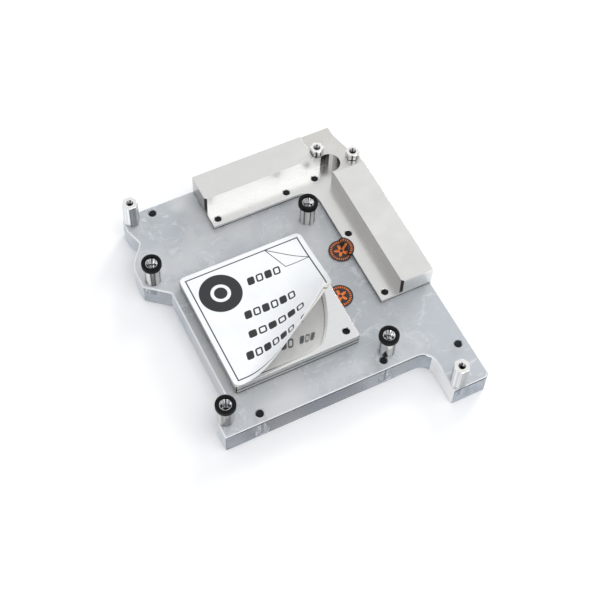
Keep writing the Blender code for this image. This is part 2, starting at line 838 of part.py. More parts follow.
def build_film(material, parent):
    """Thin sheet over the plate, peeled up along creases that fan out from its front left corner."""
    mesh = bmesh.new()
    outline = rectangle(cpu_plate_side, cpu_plate_side, film_corner)
    mesh.faces.new([mesh.verts.new((x, y, 0)) for x, y in outline])
    fan = Vector((-cpu_half - film_fan_left, -cpu_half - film_fan_front, 0))
    end = math.atan2(film_fan_front, cpu_plate_side + film_fan_left)
    step_angle = (film_fan_start - end) / film_fan_steps
    angles = [film_fan_start - step_angle * step for step in range(film_fan_steps)]
    for angle in angles:
        split(mesh, fan, (-math.sin(angle), math.cos(angle), 0))
    flat_angles = {vert: math.atan2(vert.co.y - fan.y, vert.co.x - fan.x) for vert in mesh.verts}
    small = step_angle / 100
    for angle in reversed(angles):
        crease = Vector((math.cos(angle), math.sin(angle), 0))
        lifted = [vert for vert in mesh.verts if flat_angles[vert] < angle - small]
        turn = Matrix.Rotation(-film_fan_turn / film_fan_steps, 3, crease)
        bmesh.ops.rotate(mesh, verts=lifted, cent=fan, matrix=turn)
    bmesh.ops.translate(mesh, verts=mesh.verts, vec=(0, 0, cpu_plate_top + seat_gap))
    sheet_object("protective_film", mesh, film_thickness, material, parent)


def build_flange_label(material, parent):
    """Round seal that climbs from the clear body onto the regulator plate's flange."""
    mesh = bmesh.new()
    mesh.faces.new([mesh.verts.new((x, y, 0)) for x, y in circle(
        label_radius, round_segments, (vrm_flange_inner - flange_label_reach, flange_label_y))])
    high_from = vrm_flange_inner - seat_gap
    low_until = high_from - label_ramp
    for x in (low_until, high_from):
        split(mesh, (x, 0, 0), (1, 0, 0))
    low = body_top + seat_gap
    high = flange_top + seat_gap
    for vert in mesh.verts:
        share = min(1.0, max(0.0, (vert.co.x - low_until) / label_ramp))
        vert.co.z = low + (high - low) * share
    sheet_object("flange_seal_label", mesh, label_thickness, material, parent)


def build_plate_label(material, parent):
    """Round seal that lies on the clear body and folds up the processor plate's side."""
    wall = cpu_half + seat_gap
    bend_end = label_bend_radius * math.pi / 2
    fold = wall + label_bend_radius
    mesh = bmesh.new()
    mesh.faces.new([mesh.verts.new((x, y, 0)) for x, y in circle(
        label_radius, round_segments, (cpu_half + plate_label_reach, plate_label_y))])
    for share in (0, 0.5, 1):
        split(mesh, (fold - bend_end * share, 0, 0), (1, 0, 0))
    low = body_top + seat_gap
    for vert in mesh.verts:
        past = fold - vert.co.x
        if past <= 0:
            vert.co.z = low
            continue
        turn = min(past, bend_end) / label_bend_radius
        vert.co.x = fold - label_bend_radius * math.sin(turn)
        vert.co.z = low + label_bend_radius * (1 - math.cos(turn)) + max(0.0, past - bend_end)
    sheet_object("plate_seal_label", mesh, label_thickness, material, parent)


def main():
    remove_startup_objects()
    acrylic = make_material("clear acrylic", (0.80, 0.84, 0.88), 0.08, transmission=0.9)
    nickel = make_material("nickel plating", (0.74, 0.73, 0.71), 0.18, metallic=1.0)
    steel = make_material("stainless steel", (0.62, 0.61, 0.59), 0.3, metallic=1.0)
    black_steel = make_material("blackened steel", (0.02, 0.02, 0.022), 0.4, metallic=0.6)
    black_plastic = make_material("black plastic", (0.015, 0.015, 0.018), 0.35)
    rubber = make_material("black rubber", (0.02, 0.02, 0.02), 0.7)
    white_film = make_material("white film", (0.88, 0.89, 0.91), 0.25)
    label_paper = make_material("seal label", (0.05, 0.03, 0.025), 0.4)

    origin = bpy.data.objects.new("block_origin", None)
    bpy.context.scene.collection.objects.link(origin)

    build_body(acrylic, origin)
    build_cpu_plate(nickel, origin)
    build_vrm_plate(nickel, origin)
    build_o_ring("cpu_o_ring", cpu_ring_path(0), rubber, origin)
    build_o_ring("vrm_o_ring", vrm_ring_path(0), rubber, origin)
    build_jet(steel, black_plastic, origin)
    build_screws(black_steel, origin)
    build_round_standoffs(nickel, black_plastic, origin)
    flats_left = math.radians(30)
    for name, point in (("corner_board_standoff", corner_standoff_point()),
                        ("foot_board_standoff", foot_standoff_point())):
        build_hex_standoff(name, point, 0, body_top, long_hex_width, stud_length, nickel, origin)
    for name, point in zip(("inner_board_standoff", "outer_board_standoff"), plate_standoff_points()):
        build_hex_standoff(name, point, flats_left, corner_top, short_hex_width, plate_stud_length,
                           nickel, origin)
    build_link_plug(nickel, origin)
    build_film(white_film, origin)
    build_flange_label(label_paper, origin)
    build_plate_label(label_paper, origin)


main()
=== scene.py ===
import json
import math

import bmesh
import bpy
from mathutils import Matrix, Vector

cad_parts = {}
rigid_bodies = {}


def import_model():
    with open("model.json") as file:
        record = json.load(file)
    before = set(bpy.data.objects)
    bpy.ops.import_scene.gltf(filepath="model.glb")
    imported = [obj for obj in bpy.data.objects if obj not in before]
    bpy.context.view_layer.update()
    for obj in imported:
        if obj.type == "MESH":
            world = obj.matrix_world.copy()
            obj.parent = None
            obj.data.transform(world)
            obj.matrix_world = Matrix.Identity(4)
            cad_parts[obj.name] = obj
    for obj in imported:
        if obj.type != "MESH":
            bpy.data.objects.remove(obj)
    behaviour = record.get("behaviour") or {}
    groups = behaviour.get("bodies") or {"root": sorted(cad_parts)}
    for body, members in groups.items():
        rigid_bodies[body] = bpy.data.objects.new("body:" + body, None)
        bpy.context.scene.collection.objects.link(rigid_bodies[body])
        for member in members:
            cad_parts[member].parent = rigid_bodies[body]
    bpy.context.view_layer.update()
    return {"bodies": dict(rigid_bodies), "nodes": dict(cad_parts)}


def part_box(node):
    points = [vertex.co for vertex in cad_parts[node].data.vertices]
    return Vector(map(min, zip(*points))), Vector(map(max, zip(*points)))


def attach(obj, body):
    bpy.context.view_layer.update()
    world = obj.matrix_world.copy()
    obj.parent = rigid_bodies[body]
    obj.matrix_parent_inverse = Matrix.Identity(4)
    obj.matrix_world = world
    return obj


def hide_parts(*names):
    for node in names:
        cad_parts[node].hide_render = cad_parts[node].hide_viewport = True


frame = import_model()
mm = 0.001
bodyName = next(iter(frame["bodies"]))
print("frame loaded:", len(frame["nodes"]), "nodes")


def linear(code):
    channels = [int(code[start:start + 2], 16) / 255 for start in (1, 3, 5)]
    return tuple(channel / 12.92 if channel <= 0.04045 else ((channel + 0.055) / 1.055) ** 2.4
                 for channel in channels) + (1.0,)


def feed(tree, node, inputs):
    # an input takes a value, a socket, or the first live output of another node
    for socket, value in inputs.items() if isinstance(inputs, dict) else enumerate(inputs):
        if isinstance(value, bpy.types.Node):
            value = next(output for output in value.outputs if output.enabled)
        if isinstance(value, bpy.types.NodeSocket):
            tree.links.new(value, node.inputs[socket])
        else:
            node.inputs[socket].default_value = value


def addNode(tree, kind, inputs=(), operation="", **settings):
    node = tree.nodes.new("ShaderNode" + kind)
    if operation:
        node.operation = operation
    for setting, value in settings.items():
        setattr(node, setting, value)
    feed(tree, node, inputs)
    return node


def setStops(node, stops):
    # greys of a colour ramp, as pairs of place and brightness
    while len(node.color_ramp.elements) < len(stops):
        node.color_ramp.elements.new(0.5)
    for element, (position, value) in zip(node.color_ramp.elements, stops):
        element.position = position
        element.color = (value, value, value, 1)
    return node


def newMaterial(name, values):
    material = bpy.data.materials.new(name)
    material.use_nodes = True
    tree = material.node_tree
    shader = tree.nodes["Principled BSDF"]
    feed(tree, shader, values)
    return material, tree, shader


def surfaceMarks(tree, size, detail=3.0, roughness=0.5, distortion=0.0, turn=0.0):
    # uneven marks over a piece; size is the width of one in mm, the same all ways or along x, y and z
    widths = size if isinstance(size, tuple) else (size, size, size)
    place = addNode(tree, "Mapping", {
        "Vector": addNode(tree, "TexCoord").outputs["Object"], "Rotation": (0, 0, turn),
        "Scale": [1 / (width * mm) for width in widths]})
    return addNode(tree, "TexNoise", {"Vector": place, "Scale": 1.0, "Detail": detail, "Roughness": roughness,
                                      "Distortion": distortion})


# outlines and solids, in mm

def rounded(corners, arcStep=math.radians(9)):
    # an outline through corners of x, y and radius
    points = []
    for index, (x, y, radius) in enumerate(corners):
        corner = Vector((x, y))
        if radius == 0:
            points.append(corner)
            continue
        back = (Vector(corners[index - 1][:2]) - corner).normalized()
        ahead = (Vector(corners[(index + 1) % len(corners)][:2]) - corner).normalized()
        half = back.angle(ahead) / 2
        centre = corner + (back + ahead).normalized() * radius / math.sin(half)
        first = corner + back * radius / math.tan(half) - centre
        last = corner + ahead * radius / math.tan(half) - centre
        turn = math.atan2(first.cross(last), first.dot(last))
        steps = max(2, round(abs(turn) / arcStep))
        points += [centre + Matrix.Rotation(turn * step / steps, 2) @ first for step in range(steps + 1)]
    return points


def rectangle(width, depth, radius=0.0, centre=(0, 0)):
    left, right = centre[0] - width / 2, centre[0] + width / 2
    front, back = centre[1] - depth / 2, centre[1] + depth / 2
    return rounded([(x, y, radius) for x, y in ((left, front), (right, front), (right, back), (left, back))])


def circle(radius, segments, centre=(0, 0), start=0.0):
    angles = [start + math.tau * step / segments for step in range(segments)]
    return [Vector((centre[0] + radius * math.cos(angle), centre[1] + radius * math.sin(angle))) for angle in angles]


def liftFaces(mesh, faces, height):
    lifted = bmesh.ops.extrude_face_region(mesh, geom=faces)["geom"]
    tops = [part for part in lifted if isinstance(part, bmesh.types.BMVert)]
    bmesh.ops.translate(mesh, verts=tops, vec=(0, 0, height * mm))
    bmesh.ops.recalc_face_normals(mesh, faces=mesh.faces)


def prism(outline, low, high, edge=0.0, segments=2):
    mesh = bmesh.new()
    base = mesh.faces.new([mesh.verts.new((x * mm, y * mm, low * mm)) for x, y in outline])
    liftFaces(mesh, [base], high - low)
    if edge:
        rims = [line for line in mesh.edges if abs(line.verts[0].co.z - line.verts[1].co.z) < 1e-6]
        bmesh.ops.bevel(mesh, geom=rims, offset=edge * mm, segments=segments, affect="EDGES", profile=0.5,
                        material=-1, clamp_overlap=True)
    return mesh


def bandPrism(outer, inner, low, high):
    # the solid between two outlines
    mesh = bmesh.new()
    loops = []
    for outline in (outer, inner):
        verts = [mesh.verts.new((x * mm, y * mm, low * mm)) for x, y in outline]
        loops += [mesh.edges.new((verts[index - 1], verts[index])) for index in range(len(verts))]
    liftFaces(mesh, bmesh.ops.bridge_loops(mesh, edges=loops)["faces"], high - low)
    return mesh


def turned(profile, segments=48, centre=(0, 0), closed=False):
    # a profile of radius and height, spun round an upright axis
    mesh = bmesh.new()
    verts = [mesh.verts.new((radius * mm, 0, height * mm)) for radius, height in profile]
    pairs = list(zip(verts, verts[1:])) + ([(verts[-1], verts[0])] if closed else [])
    edges = [mesh.edges.new(pair) for pair in pairs]
    bmesh.ops.spin(mesh, geom=verts + edges, cent=(0, 0, 0), axis=(0, 0, 1), angle=math.tau, steps=segments,
                   use_merge=True)
    bmesh.ops.remove_doubles(mesh, verts=mesh.verts, dist=1e-7)
    bmesh.ops.recalc_face_normals(mesh, faces=mesh.faces)
    bmesh.ops.translate(mesh, verts=mesh.verts, vec=(centre[0] * mm, centre[1] * mm, 0))
    return mesh


def rod(radius, low, high, segments, centre=(0, 0)):
    return turned([(0, low), (radius, low), (radius, high), (0, high)], segments, centre)


def threaded(radius, low, high, pitch, depth):
    # the zigzag of a thread along a profile
    points = []
    for turn in range(int((high - low) / pitch)):
        height = low + turn * pitch
        points += [(radius, height), (radius + depth, height + pitch / 2)]
    return points + [(radius, high)]


def addMesh(whole, mesh):
    data = bpy.data.meshes.new("part")
    mesh.to_mesh(data)
    mesh.free()
    whole.from_mesh(data)
    bpy.data.meshes.remove(data)


def merged(meshes):
    whole = bmesh.new()
    for mesh in meshes:
        addMesh(whole, mesh)
    return whole


def makeObject(name, mesh):
    data = bpy.data.meshes.new(name)
    mesh.to_mesh(data)
    mesh.free()
    piece = bpy.data.objects.new(name, data)
    bpy.context.scene.collection.objects.link(piece)
    return piece


def meshOf(piece):
    mesh = bmesh.new()
    mesh.from_mesh(piece.data)
    bpy.data.objects.remove(piece, do_unlink=True)
    return mesh


def settle(piece, helpers=()):
    # applies the modifiers and drops the helpers that they used
    bpy.context.view_layer.update()
    graph = bpy.context.evaluated_depsgraph_get()
    data = bpy.data.meshes.new_from_object(piece.evaluated_get(graph), preserve_all_data_layers=True,
                                           depsgraph=graph)
    piece.modifiers.clear()
    piece.data = data
    for helper in helpers:
        bpy.data.objects.remove(helper, do_unlink=True)
    return piece


def carve(name, solid, cutters, edge=0.0):
    # cuts the cutters out of a solid, then breaks its sharp edges
    piece = makeObject(name, solid)
    helpers = [makeObject(f"{name}Cutter{number}", cutter) for number, cutter in enumerate(cutters)]
    for helper in helpers:
        boolean = piece.modifiers.new(helper.name, "BOOLEAN")
        boolean.operation = "DIFFERENCE"
        boolean.solver = "EXACT"
        boolean.object = helper
    if edge:
        bevel = piece.modifiers.new("edges", "BEVEL")
        bevel.width = edge * mm
        bevel.segments = 2
        bevel.limit_method = "ANGLE"
        bevel.angle_limit = math.radians(35)
        bevel.use_clamp_overlap = True
    return settle(piece, helpers)


def dress(piece, materials, node, angle=16):
    # clearing the materials would reset which face has which, so those are kept
    sides = [face.material_index for face in piece.data.polygons]
    piece.data.materials.clear()
    for material in materials:
        piece.data.materials.append(material)
    for face, index in zip(piece.data.polygons, sides):
        face.material_index = index
    piece.data.shade_smooth()
    piece.data.set_sharp_from_angle(angle=math.radians(angle))
    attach(piece, bodyName)
    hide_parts(node)
    return piece


def middle(node):
    low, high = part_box(node)
    return ((low.x + high.x) / 2 / mm, (low.y + high.y) / 2 / mm)


def middles(node, count):
    return [middle(f"{node}_{number}") for number in range(1, count + 1)]


def paintBores(piece, bores, index, below):
    # the walls of a hole, of x, y and radius, get a material of their own under a height
    for face in piece.data.polygons:
        if face.normal.z < 0.9 and face.center.z < below * mm and any(
                math.hypot(face.center.x / mm - x, face.center.y / mm - y) < radius for x, y, radius in bores):
            face.material_index = index


acrylicLook = {  # widths in mm
    "patch": 23.81, "speck": 4.762,  # cloudy patches and the finer unevenness on them
    "hairline": (8.333, 1.111, 2.5), "hairlineTurn": 0.45,  # real ones are 0.05 wide, drawn as coarse as shows
    "smear": (11.76, 9.091, 11.76), "smearTurn": 0.8,  # strokes of a wiping cloth
    "shadeFrom": 30, "shadeTo": 62,  # places in x between which the acrylic turns hazier, and darker with painted shade, towards the right
    "smearColour": "#fafafc", "hairlineColour": "#fdfeff", "relief": 0.1,
}


def acrylicMaterial(name, tint, bloom, roughness, haze, milk=0.0, passed=0.27, smears=0.15):
    # clear cast acrylic, faintly blue; milk is the share of cloudy scatter, and passed what shines through that
    look = acrylicLook
    material, tree, shader = newMaterial(name, {"IOR": 1.49, "Transmission Weight": 1.0})
    cloud = surfaceMarks(tree, look["patch"], distortion=0.2)
    speck = addNode(tree, "Math", [surfaceMarks(tree, look["speck"], 2.0), 0.12], "MULTIPLY")
    uneven = addNode(tree, "Math", [cloud, speck], "ADD")
    patch = addNode(tree, "MapRange", [uneven, 0.38, 0.72, 0.0, 1.0], interpolation_type="SMOOTHSTEP")
    place = addNode(tree, "SeparateXYZ", [addNode(tree, "TexCoord").outputs["Object"]])
    # painted shade: the patches' darker tint spreads over the right part
    right = addNode(tree, "MapRange", [place, look["shadeFrom"] * mm, look["shadeTo"] * mm, 0.0, 0.95])
    patch = addNode(tree, "Math", [patch, right], "MAXIMUM")
    hairline = surfaceMarks(tree, look["hairline"], 2.0, turn=look["hairlineTurn"])
    scratched = addNode(tree, "MapRange", [hairline, 0.68, 0.74, 0.0, 0.35])
    smear = surfaceMarks(tree, look["smear"], 6.0, 0.68, 2.0, look["smearTurn"])
    wiped = addNode(tree, "MapRange", [smear, 0.54, 0.64, 0.0, smears], interpolation_type="SMOOTHSTEP")
    colour = linear(tint)
    for share, over in ((patch, bloom), (wiped, look["smearColour"]), (scratched, look["hairlineColour"])):
        colour = addNode(tree, "Mix", {0: share, 6: colour, 7: linear(over)}, data_type="RGBA")
    rough = addNode(tree, "MapRange", [patch, 0.0, 1.0, roughness, roughness + haze])
    relief = addNode(tree, "Bump", {"Height": hairline, "Strength": 0.03, "Distance": look["relief"] * mm})
    feed(tree, shader, {"Base Color": colour, "Roughness": rough, "Normal": relief})
    if milk:
        lit = addNode(tree, "BsdfDiffuse", {"Color": colour, "Normal": relief})
        through = addNode(tree, "BsdfTranslucent", {"Color": colour, "Normal": relief})
        cloudy = addNode(tree, "MixShader", [passed, lit, through])
        amount = addNode(tree, "MapRange", [patch, 0.0, 1.0, milk * 0.85, milk * 1.15])
        feed(tree, tree.nodes["Material Output"], [addNode(tree, "MixShader", [amount, shader, cloudy])])
    return material


# face milled flat for the plates: a cloudy grey skin that hides what lies under it
acrylicFace = acrylicMaterial("acrylic, board side", "#fbfbfa", "#d8dcdf", 0.14, 0.18, 0.68, smears=0.75)
# sides polished after cutting: glassy, with the holes and the far side showing through
acrylicWall = acrylicMaterial("acrylic, polished walls", "#f6f9fe", "#dde4ee", 0.02, 0.04, 0.18)
# hollows left as the cutter leaves them: frosted
acrylicCut = acrylicMaterial("acrylic, machined hollows", "#eaf0f7", "#d2dae4", 0.16, 0.1, 0.3)
# edges broken by hand: a painted highlight, a thin white line towards the light, and a painted shade line away from
# it
acrylicEdgeHighlight = acrylicMaterial("acrylic, broken edge, painted highlight", "#ffffff", "#f6f8fa", 0.1, 0.2, 0.85, 0.0)
acrylicEdgeShade = acrylicMaterial("acrylic, shaded edge", "#4d5259", "#3b4047", 0.1, 0.1, 0.85)
# drilled holes: smooth enough to bend the light into clear dark bars
acrylicDrilled = acrylicMaterial("acrylic, drilled hole", "#f4f8fe", "#dfe6ef", 0.05, 0.05)
# two walls across x: one white with painted light, for the light that the sheet gathers, and one duller
acrylicPaintedLight = acrylicMaterial("acrylic, wall with painted light", "#ffffff", "#fefefe", 0.03, 0.03, 0.9, 0.0)
acrylicPale = acrylicMaterial("acrylic, milled wall", "#f4f6f9", "#d5dbe2", 0.1, 0.1, 0.72, 0.05)


def nickelMaterial(name, colour, roughness, marks, relief=0.03, spread=0.05, shine=None):
    # nickel plate over milled copper: neutral light grey, with the cutter's fine lines still showing through;
    # marks are their widths in mm, drawn wider than the real 0.1 so that they show
    material, tree, shader = newMaterial(name, {"Metallic": 1.0})
    lines = surfaceMarks(tree, marks, 4.0, 0.6)
    blot = surfaceMarks(tree, 16.67, 2.0)  # handling blots as wide as a fingertip
    tone = addNode(tree, "Math", [addNode(tree, "Math", [lines, 0.6], "MULTIPLY"),
                                  addNode(tree, "Math", [blot, 0.4], "MULTIPLY")], "ADD")
    dark = tuple(channel * (1 - 2 * spread) for channel in linear(colour)[:3]) + (1.0,)
    share = addNode(tree, "MapRange", [tone, 0.35, 0.65, 0.0, 1.0])
    metal = addNode(tree, "Mix", {0: share, 6: dark, 7: linear(colour)}, data_type="RGBA")
    # painted reflection: bright and dark bands by how a face turns to the view
    if shine:
        facing = addNode(tree, "LayerWeight", {"Blend": 0.5}).outputs["Facing"]
        bands = setStops(addNode(tree, "ValToRGB", [facing]), shine)
        metal = addNode(tree, "Mix", {0: 1.0, 6: metal, 7: bands}, data_type="RGBA", blend_type="MULTIPLY")
    feed(tree, shader, {
        "Base Color": metal,
        "Roughness": addNode(tree, "MapRange", [tone, 0.3, 0.7, roughness * 0.8, roughness * 1.25]),
        "Normal": addNode(tree, "Bump", {"Height": lines, "Strength": relief, "Distance": 0.1 * mm})})
    return material


paintedReflections = {  # place and brightness of painted reflection bands
    # painted reflection on the barrels: bright and dark bands side by side, from the middle of the view to the rim
    "barrel": [(0.0, 1.0), (0.44, 1.0), (0.50, 0.95), (0.54, 0.60), (0.60, 0.35), (0.66, 0.75), (0.74, 0.95),
               (0.84, 0.60), (0.92, 0.08), (1.0, 0.35)],
    # the same, with painted shade where a neighbour stands in the middle of the reflection
    "shadedBarrel": [(0.0, 1.0), (0.44, 1.0), (0.462, 0.2), (0.482, 0.12), (0.496, 0.9), (0.56, 1.0), (0.64, 0.95),
                     (0.69, 0.35), (0.74, 0.15), (0.80, 0.7), (0.88, 0.9), (0.94, 0.2), (1.0, 0.35)],
    # the rest go once round an upright axis from the left
    "pocket": [(0.0, 0.3), (0.40, 0.35), (0.44, 0.08), (0.50, 0.1), (0.535, 0.4), (0.575, 0.45), (0.61, 0.8),
               (0.625, 1.0), (0.665, 1.0), (0.68, 0.06), (0.715, 0.13), (0.73, 0.03), (0.77, 0.12), (0.80, 0.04),
               (0.83, 0.07)],
    "mouth": [(0.0, 1.0), (0.555, 1.0), (0.57, 0.9), (0.59, 0.05), (0.61, 0.9), (0.635, 1.0), (0.648, 0.9),
              (0.66, 0.04), (0.68, 0.04), (0.694, 0.9), (0.71, 1.0), (0.726, 0.9), (0.742, 0.05), (0.766, 0.9),
              (0.79, 1.0), (1.0, 1.0)],
    "mouthOfLeftBarrels": [(0.0, 1.0), (0.52, 0.9), (0.56, 0.5), (0.585, 1.0), (0.64, 0.95), (0.65, 0.04),
                           (0.69, 0.04), (0.70, 0.9), (0.73, 1.0), (0.755, 0.45), (0.78, 0.9), (1.0, 1.0)],
    "postMouth": [(0.0, 0.55), (0.50, 0.5), (0.60, 0.9), (0.645, 0.05), (0.69, 0.05), (0.72, 0.9), (0.80, 0.4),
                  (1.0, 0.55)],
    "short": [(0.0, 0.85), (0.06, 0.3), (0.09, 0.9), (0.145, 0.9), (0.155, 0.04), (0.185, 0.04), (0.195, 1.0),
              (0.25, 1.0), (0.27, 0.1), (0.30, 0.15), (0.32, 0.9), (0.40, 0.6), (0.5, 0.5), (0.667, 0.8),
              (0.833, 0.5), (0.93, 0.85), (1.0, 0.85)],
    "tall": [(0.0, 0.85), (0.15, 0.95), (0.165, 1.0), (0.18, 0.45), (0.22, 0.62), (0.26, 0.4), (0.32, 0.55),
             (0.332, 1.0), (0.345, 0.35), (0.40, 0.25), (0.5, 0.5), (0.667, 0.8), (0.833, 0.5), (1.0, 0.85)],
}


def nickelPaintedReflection(name, colour, roughness, centre, bands, marks=(1.111, 1.111, 50)):
    # plated wall round an upright axis, with a painted reflection of its surroundings in upright stripes, dark beside
    # bright
    material, tree, shader = newMaterial(name, {"Metallic": 1.0})
    place = addNode(tree, "VectorMath", [addNode(tree, "TexCoord").outputs["Object"],
                                         (centre[0] * mm, centre[1] * mm, 0)], "SUBTRACT")
    split = addNode(tree, "SeparateXYZ", [place])
    angle = addNode(tree, "Math", [split.outputs["Y"], split.outputs["X"]], "ARCTAN2")
    share = addNode(tree, "Math", [addNode(tree, "Math", [angle, 1 / math.tau], "MULTIPLY"), 0.5],
                    "ADD")
    stripe = setStops(addNode(tree, "ValToRGB", [share]), bands)
    fine = surfaceMarks(tree, marks, 2.0)
    streak = addNode(tree, "MapRange", [fine, 0.3, 0.7, 0.7, 1.1])
    metal = linear(colour)
    for layer in (streak, stripe):
        metal = addNode(tree, "Mix", {0: 1.0, 6: layer, 7: metal}, data_type="RGBA", blend_type="MULTIPLY")
    rough = addNode(tree, "MapRange", [fine, 0.3, 0.7, roughness * 0.8, roughness * 1.2])
    feed(tree, shader, {"Base Color": metal, "Roughness": rough})
    return material


# tops milled and then rubbed: an even satin grey with hardly a mark
nickelTop = nickelMaterial("nickel, satin tops", "#d7d7d6", 0.24, 6.667, 0.0, 0.008)
# contact face lapped flat: a soft mirror for the print on the film
nickelMirror = nickelMaterial("nickel, lapped", "#dfe0e1", 0.07, (8.333, 1.111, 3.333), 0.01, 0.02)
# sides cut along the bars: long streaks, wide on one arm and tight on the other; the walls facing y are lighter with
# painted light and the walls facing x darker with painted shade
nickelLongLit = nickelMaterial("nickel, milled along x, painted light", "#f2f2f1", 0.42, (45.45, 1.111, 0.7692), 0.05, 0.10)
nickelSideShaded = nickelMaterial("nickel, milled along y, painted shade", "#b9b7b7", 0.15, (1.111, 45.45, 0.6667), 0.04, 0.08)
# barrels from the lathe: rings 0.4 apart that blur the painted reflection bands
lathe = (3.333, 3.333, 0.4)
nickelTurnedReflection = nickelMaterial("nickel, turned, painted reflection", "#e6e5e3", 0.12, lathe, 0.03, 0.04, paintedReflections["barrel"])
nickelTurnedReflectionShaded = nickelMaterial("nickel, turned, painted reflection, shaded", "#e6e5e3", 0.12, lathe, 0.03, 0.04, paintedReflections["shadedBarrel"])
# crowns of the posts: bright and nearly plain
nickelHex = nickelMaterial("nickel, crown of a spacer", "#efeeec", 0.14, 2.5, 0.02, 0.05)
# lines that lie in shade: grooves, feet and inner corners
nickelEdge = nickelMaterial("nickel, shaded edge", "#474543", 0.3, 3.333, 0.01, 0.1)
# lower corner, cut last: a shade warmer and duller than the tops
nickelCorner = nickelMaterial("nickel, cut corner", "#cdcbc8", 0.26, 6.667, 0.0, 0.01)
# painted shade: almost black, in threads and holes, where little light gets in, and along the processor plate's foot
nickelBoreShade = nickelMaterial("nickel, painted shade in holes and feet", "#232221", 0.3, (3.333, 3.333, 1.111), 0.03, 0.2)
# cold-rolled sheet: a warmer grey with lines along x
steelSheet = nickelMaterial("stainless sheet", "#bdbbb8", 0.28, (16.67, 0.7143, 0.7143))


def blackMaterial(name, colour, roughness, metallic, speckSize, gloss=0.3):
    # dark skins told apart by grit and shine; the grit is drawn at 0.3 to 0.6 mm so that it shows
    material, tree, shader = newMaterial(name, {"Metallic": metallic, "Specular IOR Level": gloss})
    speck = surfaceMarks(tree, speckSize, 3.0, 0.6)
    light = tuple(min(1.0, channel * 1.8 + 0.004) for channel in linear(colour)[:3]) + (1.0,)
    share = addNode(tree, "MapRange", [speck, 0.4, 0.7, 0.0, 1.0])
    feed(tree, shader, {
        "Base Color": addNode(tree, "Mix", {0: share, 6: linear(colour), 7: light}, data_type="RGBA"),
        "Roughness": addNode(tree, "MapRange", [speck, 0.3, 0.7, roughness * 0.85, roughness * 1.2]),
        "Normal": addNode(tree, "Bump", {"Height": speck, "Strength": 0.15, "Distance": 0.05 * mm})})
    return material


# moulded nylon: a fine matt skin with a soft shine
blackPlastic = blackMaterial("black plastic, moulded", "#050607", 0.42, 0.0, 0.4, 0.12)
# black oxide on steel: slightly greyer where it is worn
blackSteel = blackMaterial("black oxide steel", "#1b1b1d", 0.38, 0.7, 0.5556)
# nitrile cord: dull and even
rubber = blackMaterial("rubber cord", "#111112", 0.62, 0.0, 0.3333)
print("materials made")

body = {
    "thickness": 11.5, "edge": 0.6,
    "outline": [  # x, y and radius of each corner
        (-41.3, -45.5, 0.8), (54.0, -45.5, 6.0), (54.0, -67.0, 0.8), (69.5, -67.0, 0), (71.5, -65.0, 0),
        (71.5, 74.0, 0.8), (-37.75, 74.0, 4.0), (-37.75, 66.0, 1.5), (-35.3, 57.8, 1.5), (-41.5, 49.8, 3.0),
        (-43.0, 46.0, 3.0), (-43.0, 36.0, 1.5), (-33.0, 27.8, 1.5), (-33.0, -27.8, 1.5), (-41.3, -36.0, 1.5),
    ],
    "hole": 1.8, "headHole": 3.05, "headDepth": 2.6, "rim": 0.2,
    "standoffHole": 2.3, "postHole": 1.8, "studFloor": 5.2,
    "grooveHalf": 1.3, "grooveDepth": 2.3,
    "chamber": (36, 36, 3), "chamberDepth": 4, "channelInset": 2.3, "channelDepth": 3,
    "drilledReach": 3.4,  # walls this near to a body screw belong to its hole
}
port = {"radius": 5.9, "depth": 6.2, "lead": 0.5, "pitch": 0.9, "thread": 0.35,
        "throats": [((0, 0), 3.5, 2), ((9.0, 61.85), 1.8, 1.5)]}  # centre, radius, wall left above
link = {"y": -3.8, "z": 6.0, "radius": 2.2, "length": 57.5, "plugRadius": 3.5, "plugLength": 5.3, "outside": 2,
        "collector": (4, 16, 1), "collectorX": 16.3, "collectorDrop": 1, "collectorRoof": 2.2,
        "riser": 1.9, "riserX": 59.5, "riserDrop": 0.7, "riserRoof": 1.4}
ring = {"square": 48, "squareCorner": 11, "endInset": 4.5, "outerInset": 7.2, "front": 58.5, "inner": 55.0,
        "corner": 3, "thickness": 2}
top = body["thickness"]
above = top + 2
bodyRight = max(corner[0] for corner in body["outline"])

cpuScrews = middles("cpu_plate_screw", 4)
flangeScrews = middles("flange_screw", 5)
barScrews = middles("bar_screw", 4)
bodyScrews = middles("body_screw", 4)
standoffs = middles("cpu_standoff", 4)
tallPosts = [middle("corner_board_standoff"), middle("foot_board_standoff")]
shortPosts = [middle("inner_board_standoff"), middle("outer_board_standoff")]


def squarePath(offset):
    side = ring["square"] + 2 * offset
    return rectangle(side, side, ring["squareCorner"] + offset)


def ringPath(offset):
    # L-shaped loop inside the regulator plate's screws
    low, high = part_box("vrm_cold_plate")
    left, end = low.x / mm + ring["endInset"] - offset, low.y / mm + ring["endInset"] - offset
    right, back = high.x / mm - ring["outerInset"] + offset, high.y / mm - ring["outerInset"] + offset
    front, inner = ring["front"] - offset, ring["inner"] - offset
    outside, inside = ring["corner"] + offset, max(0.2, ring["corner"] - offset)
    return rounded([(left, front, outside), (inner, front, inside), (inner, end, outside), (right, end, outside),
                    (right, back, outside), (left, back, outside)])


def boredHole(x, y):
    radius, head, depth, rim = body["hole"], body["headHole"], body["headDepth"], body["rim"]
    profile = [(0, -1), (head + rim, -1), (head + rim, 0), (head, rim), (head, depth), (radius, depth),
               (radius, top - rim), (radius + rim, top), (radius + rim, above), (0, above)]
    return turned(profile, 32, (x, y))


def studHole(radius, centre):
    floor, rim = body["studFloor"], body["rim"]
    profile = [(0, floor), (radius, floor), (radius, top - rim), (radius + rim, top), (radius + rim, above),
               (0, above)]
    return turned(profile, 32, centre)


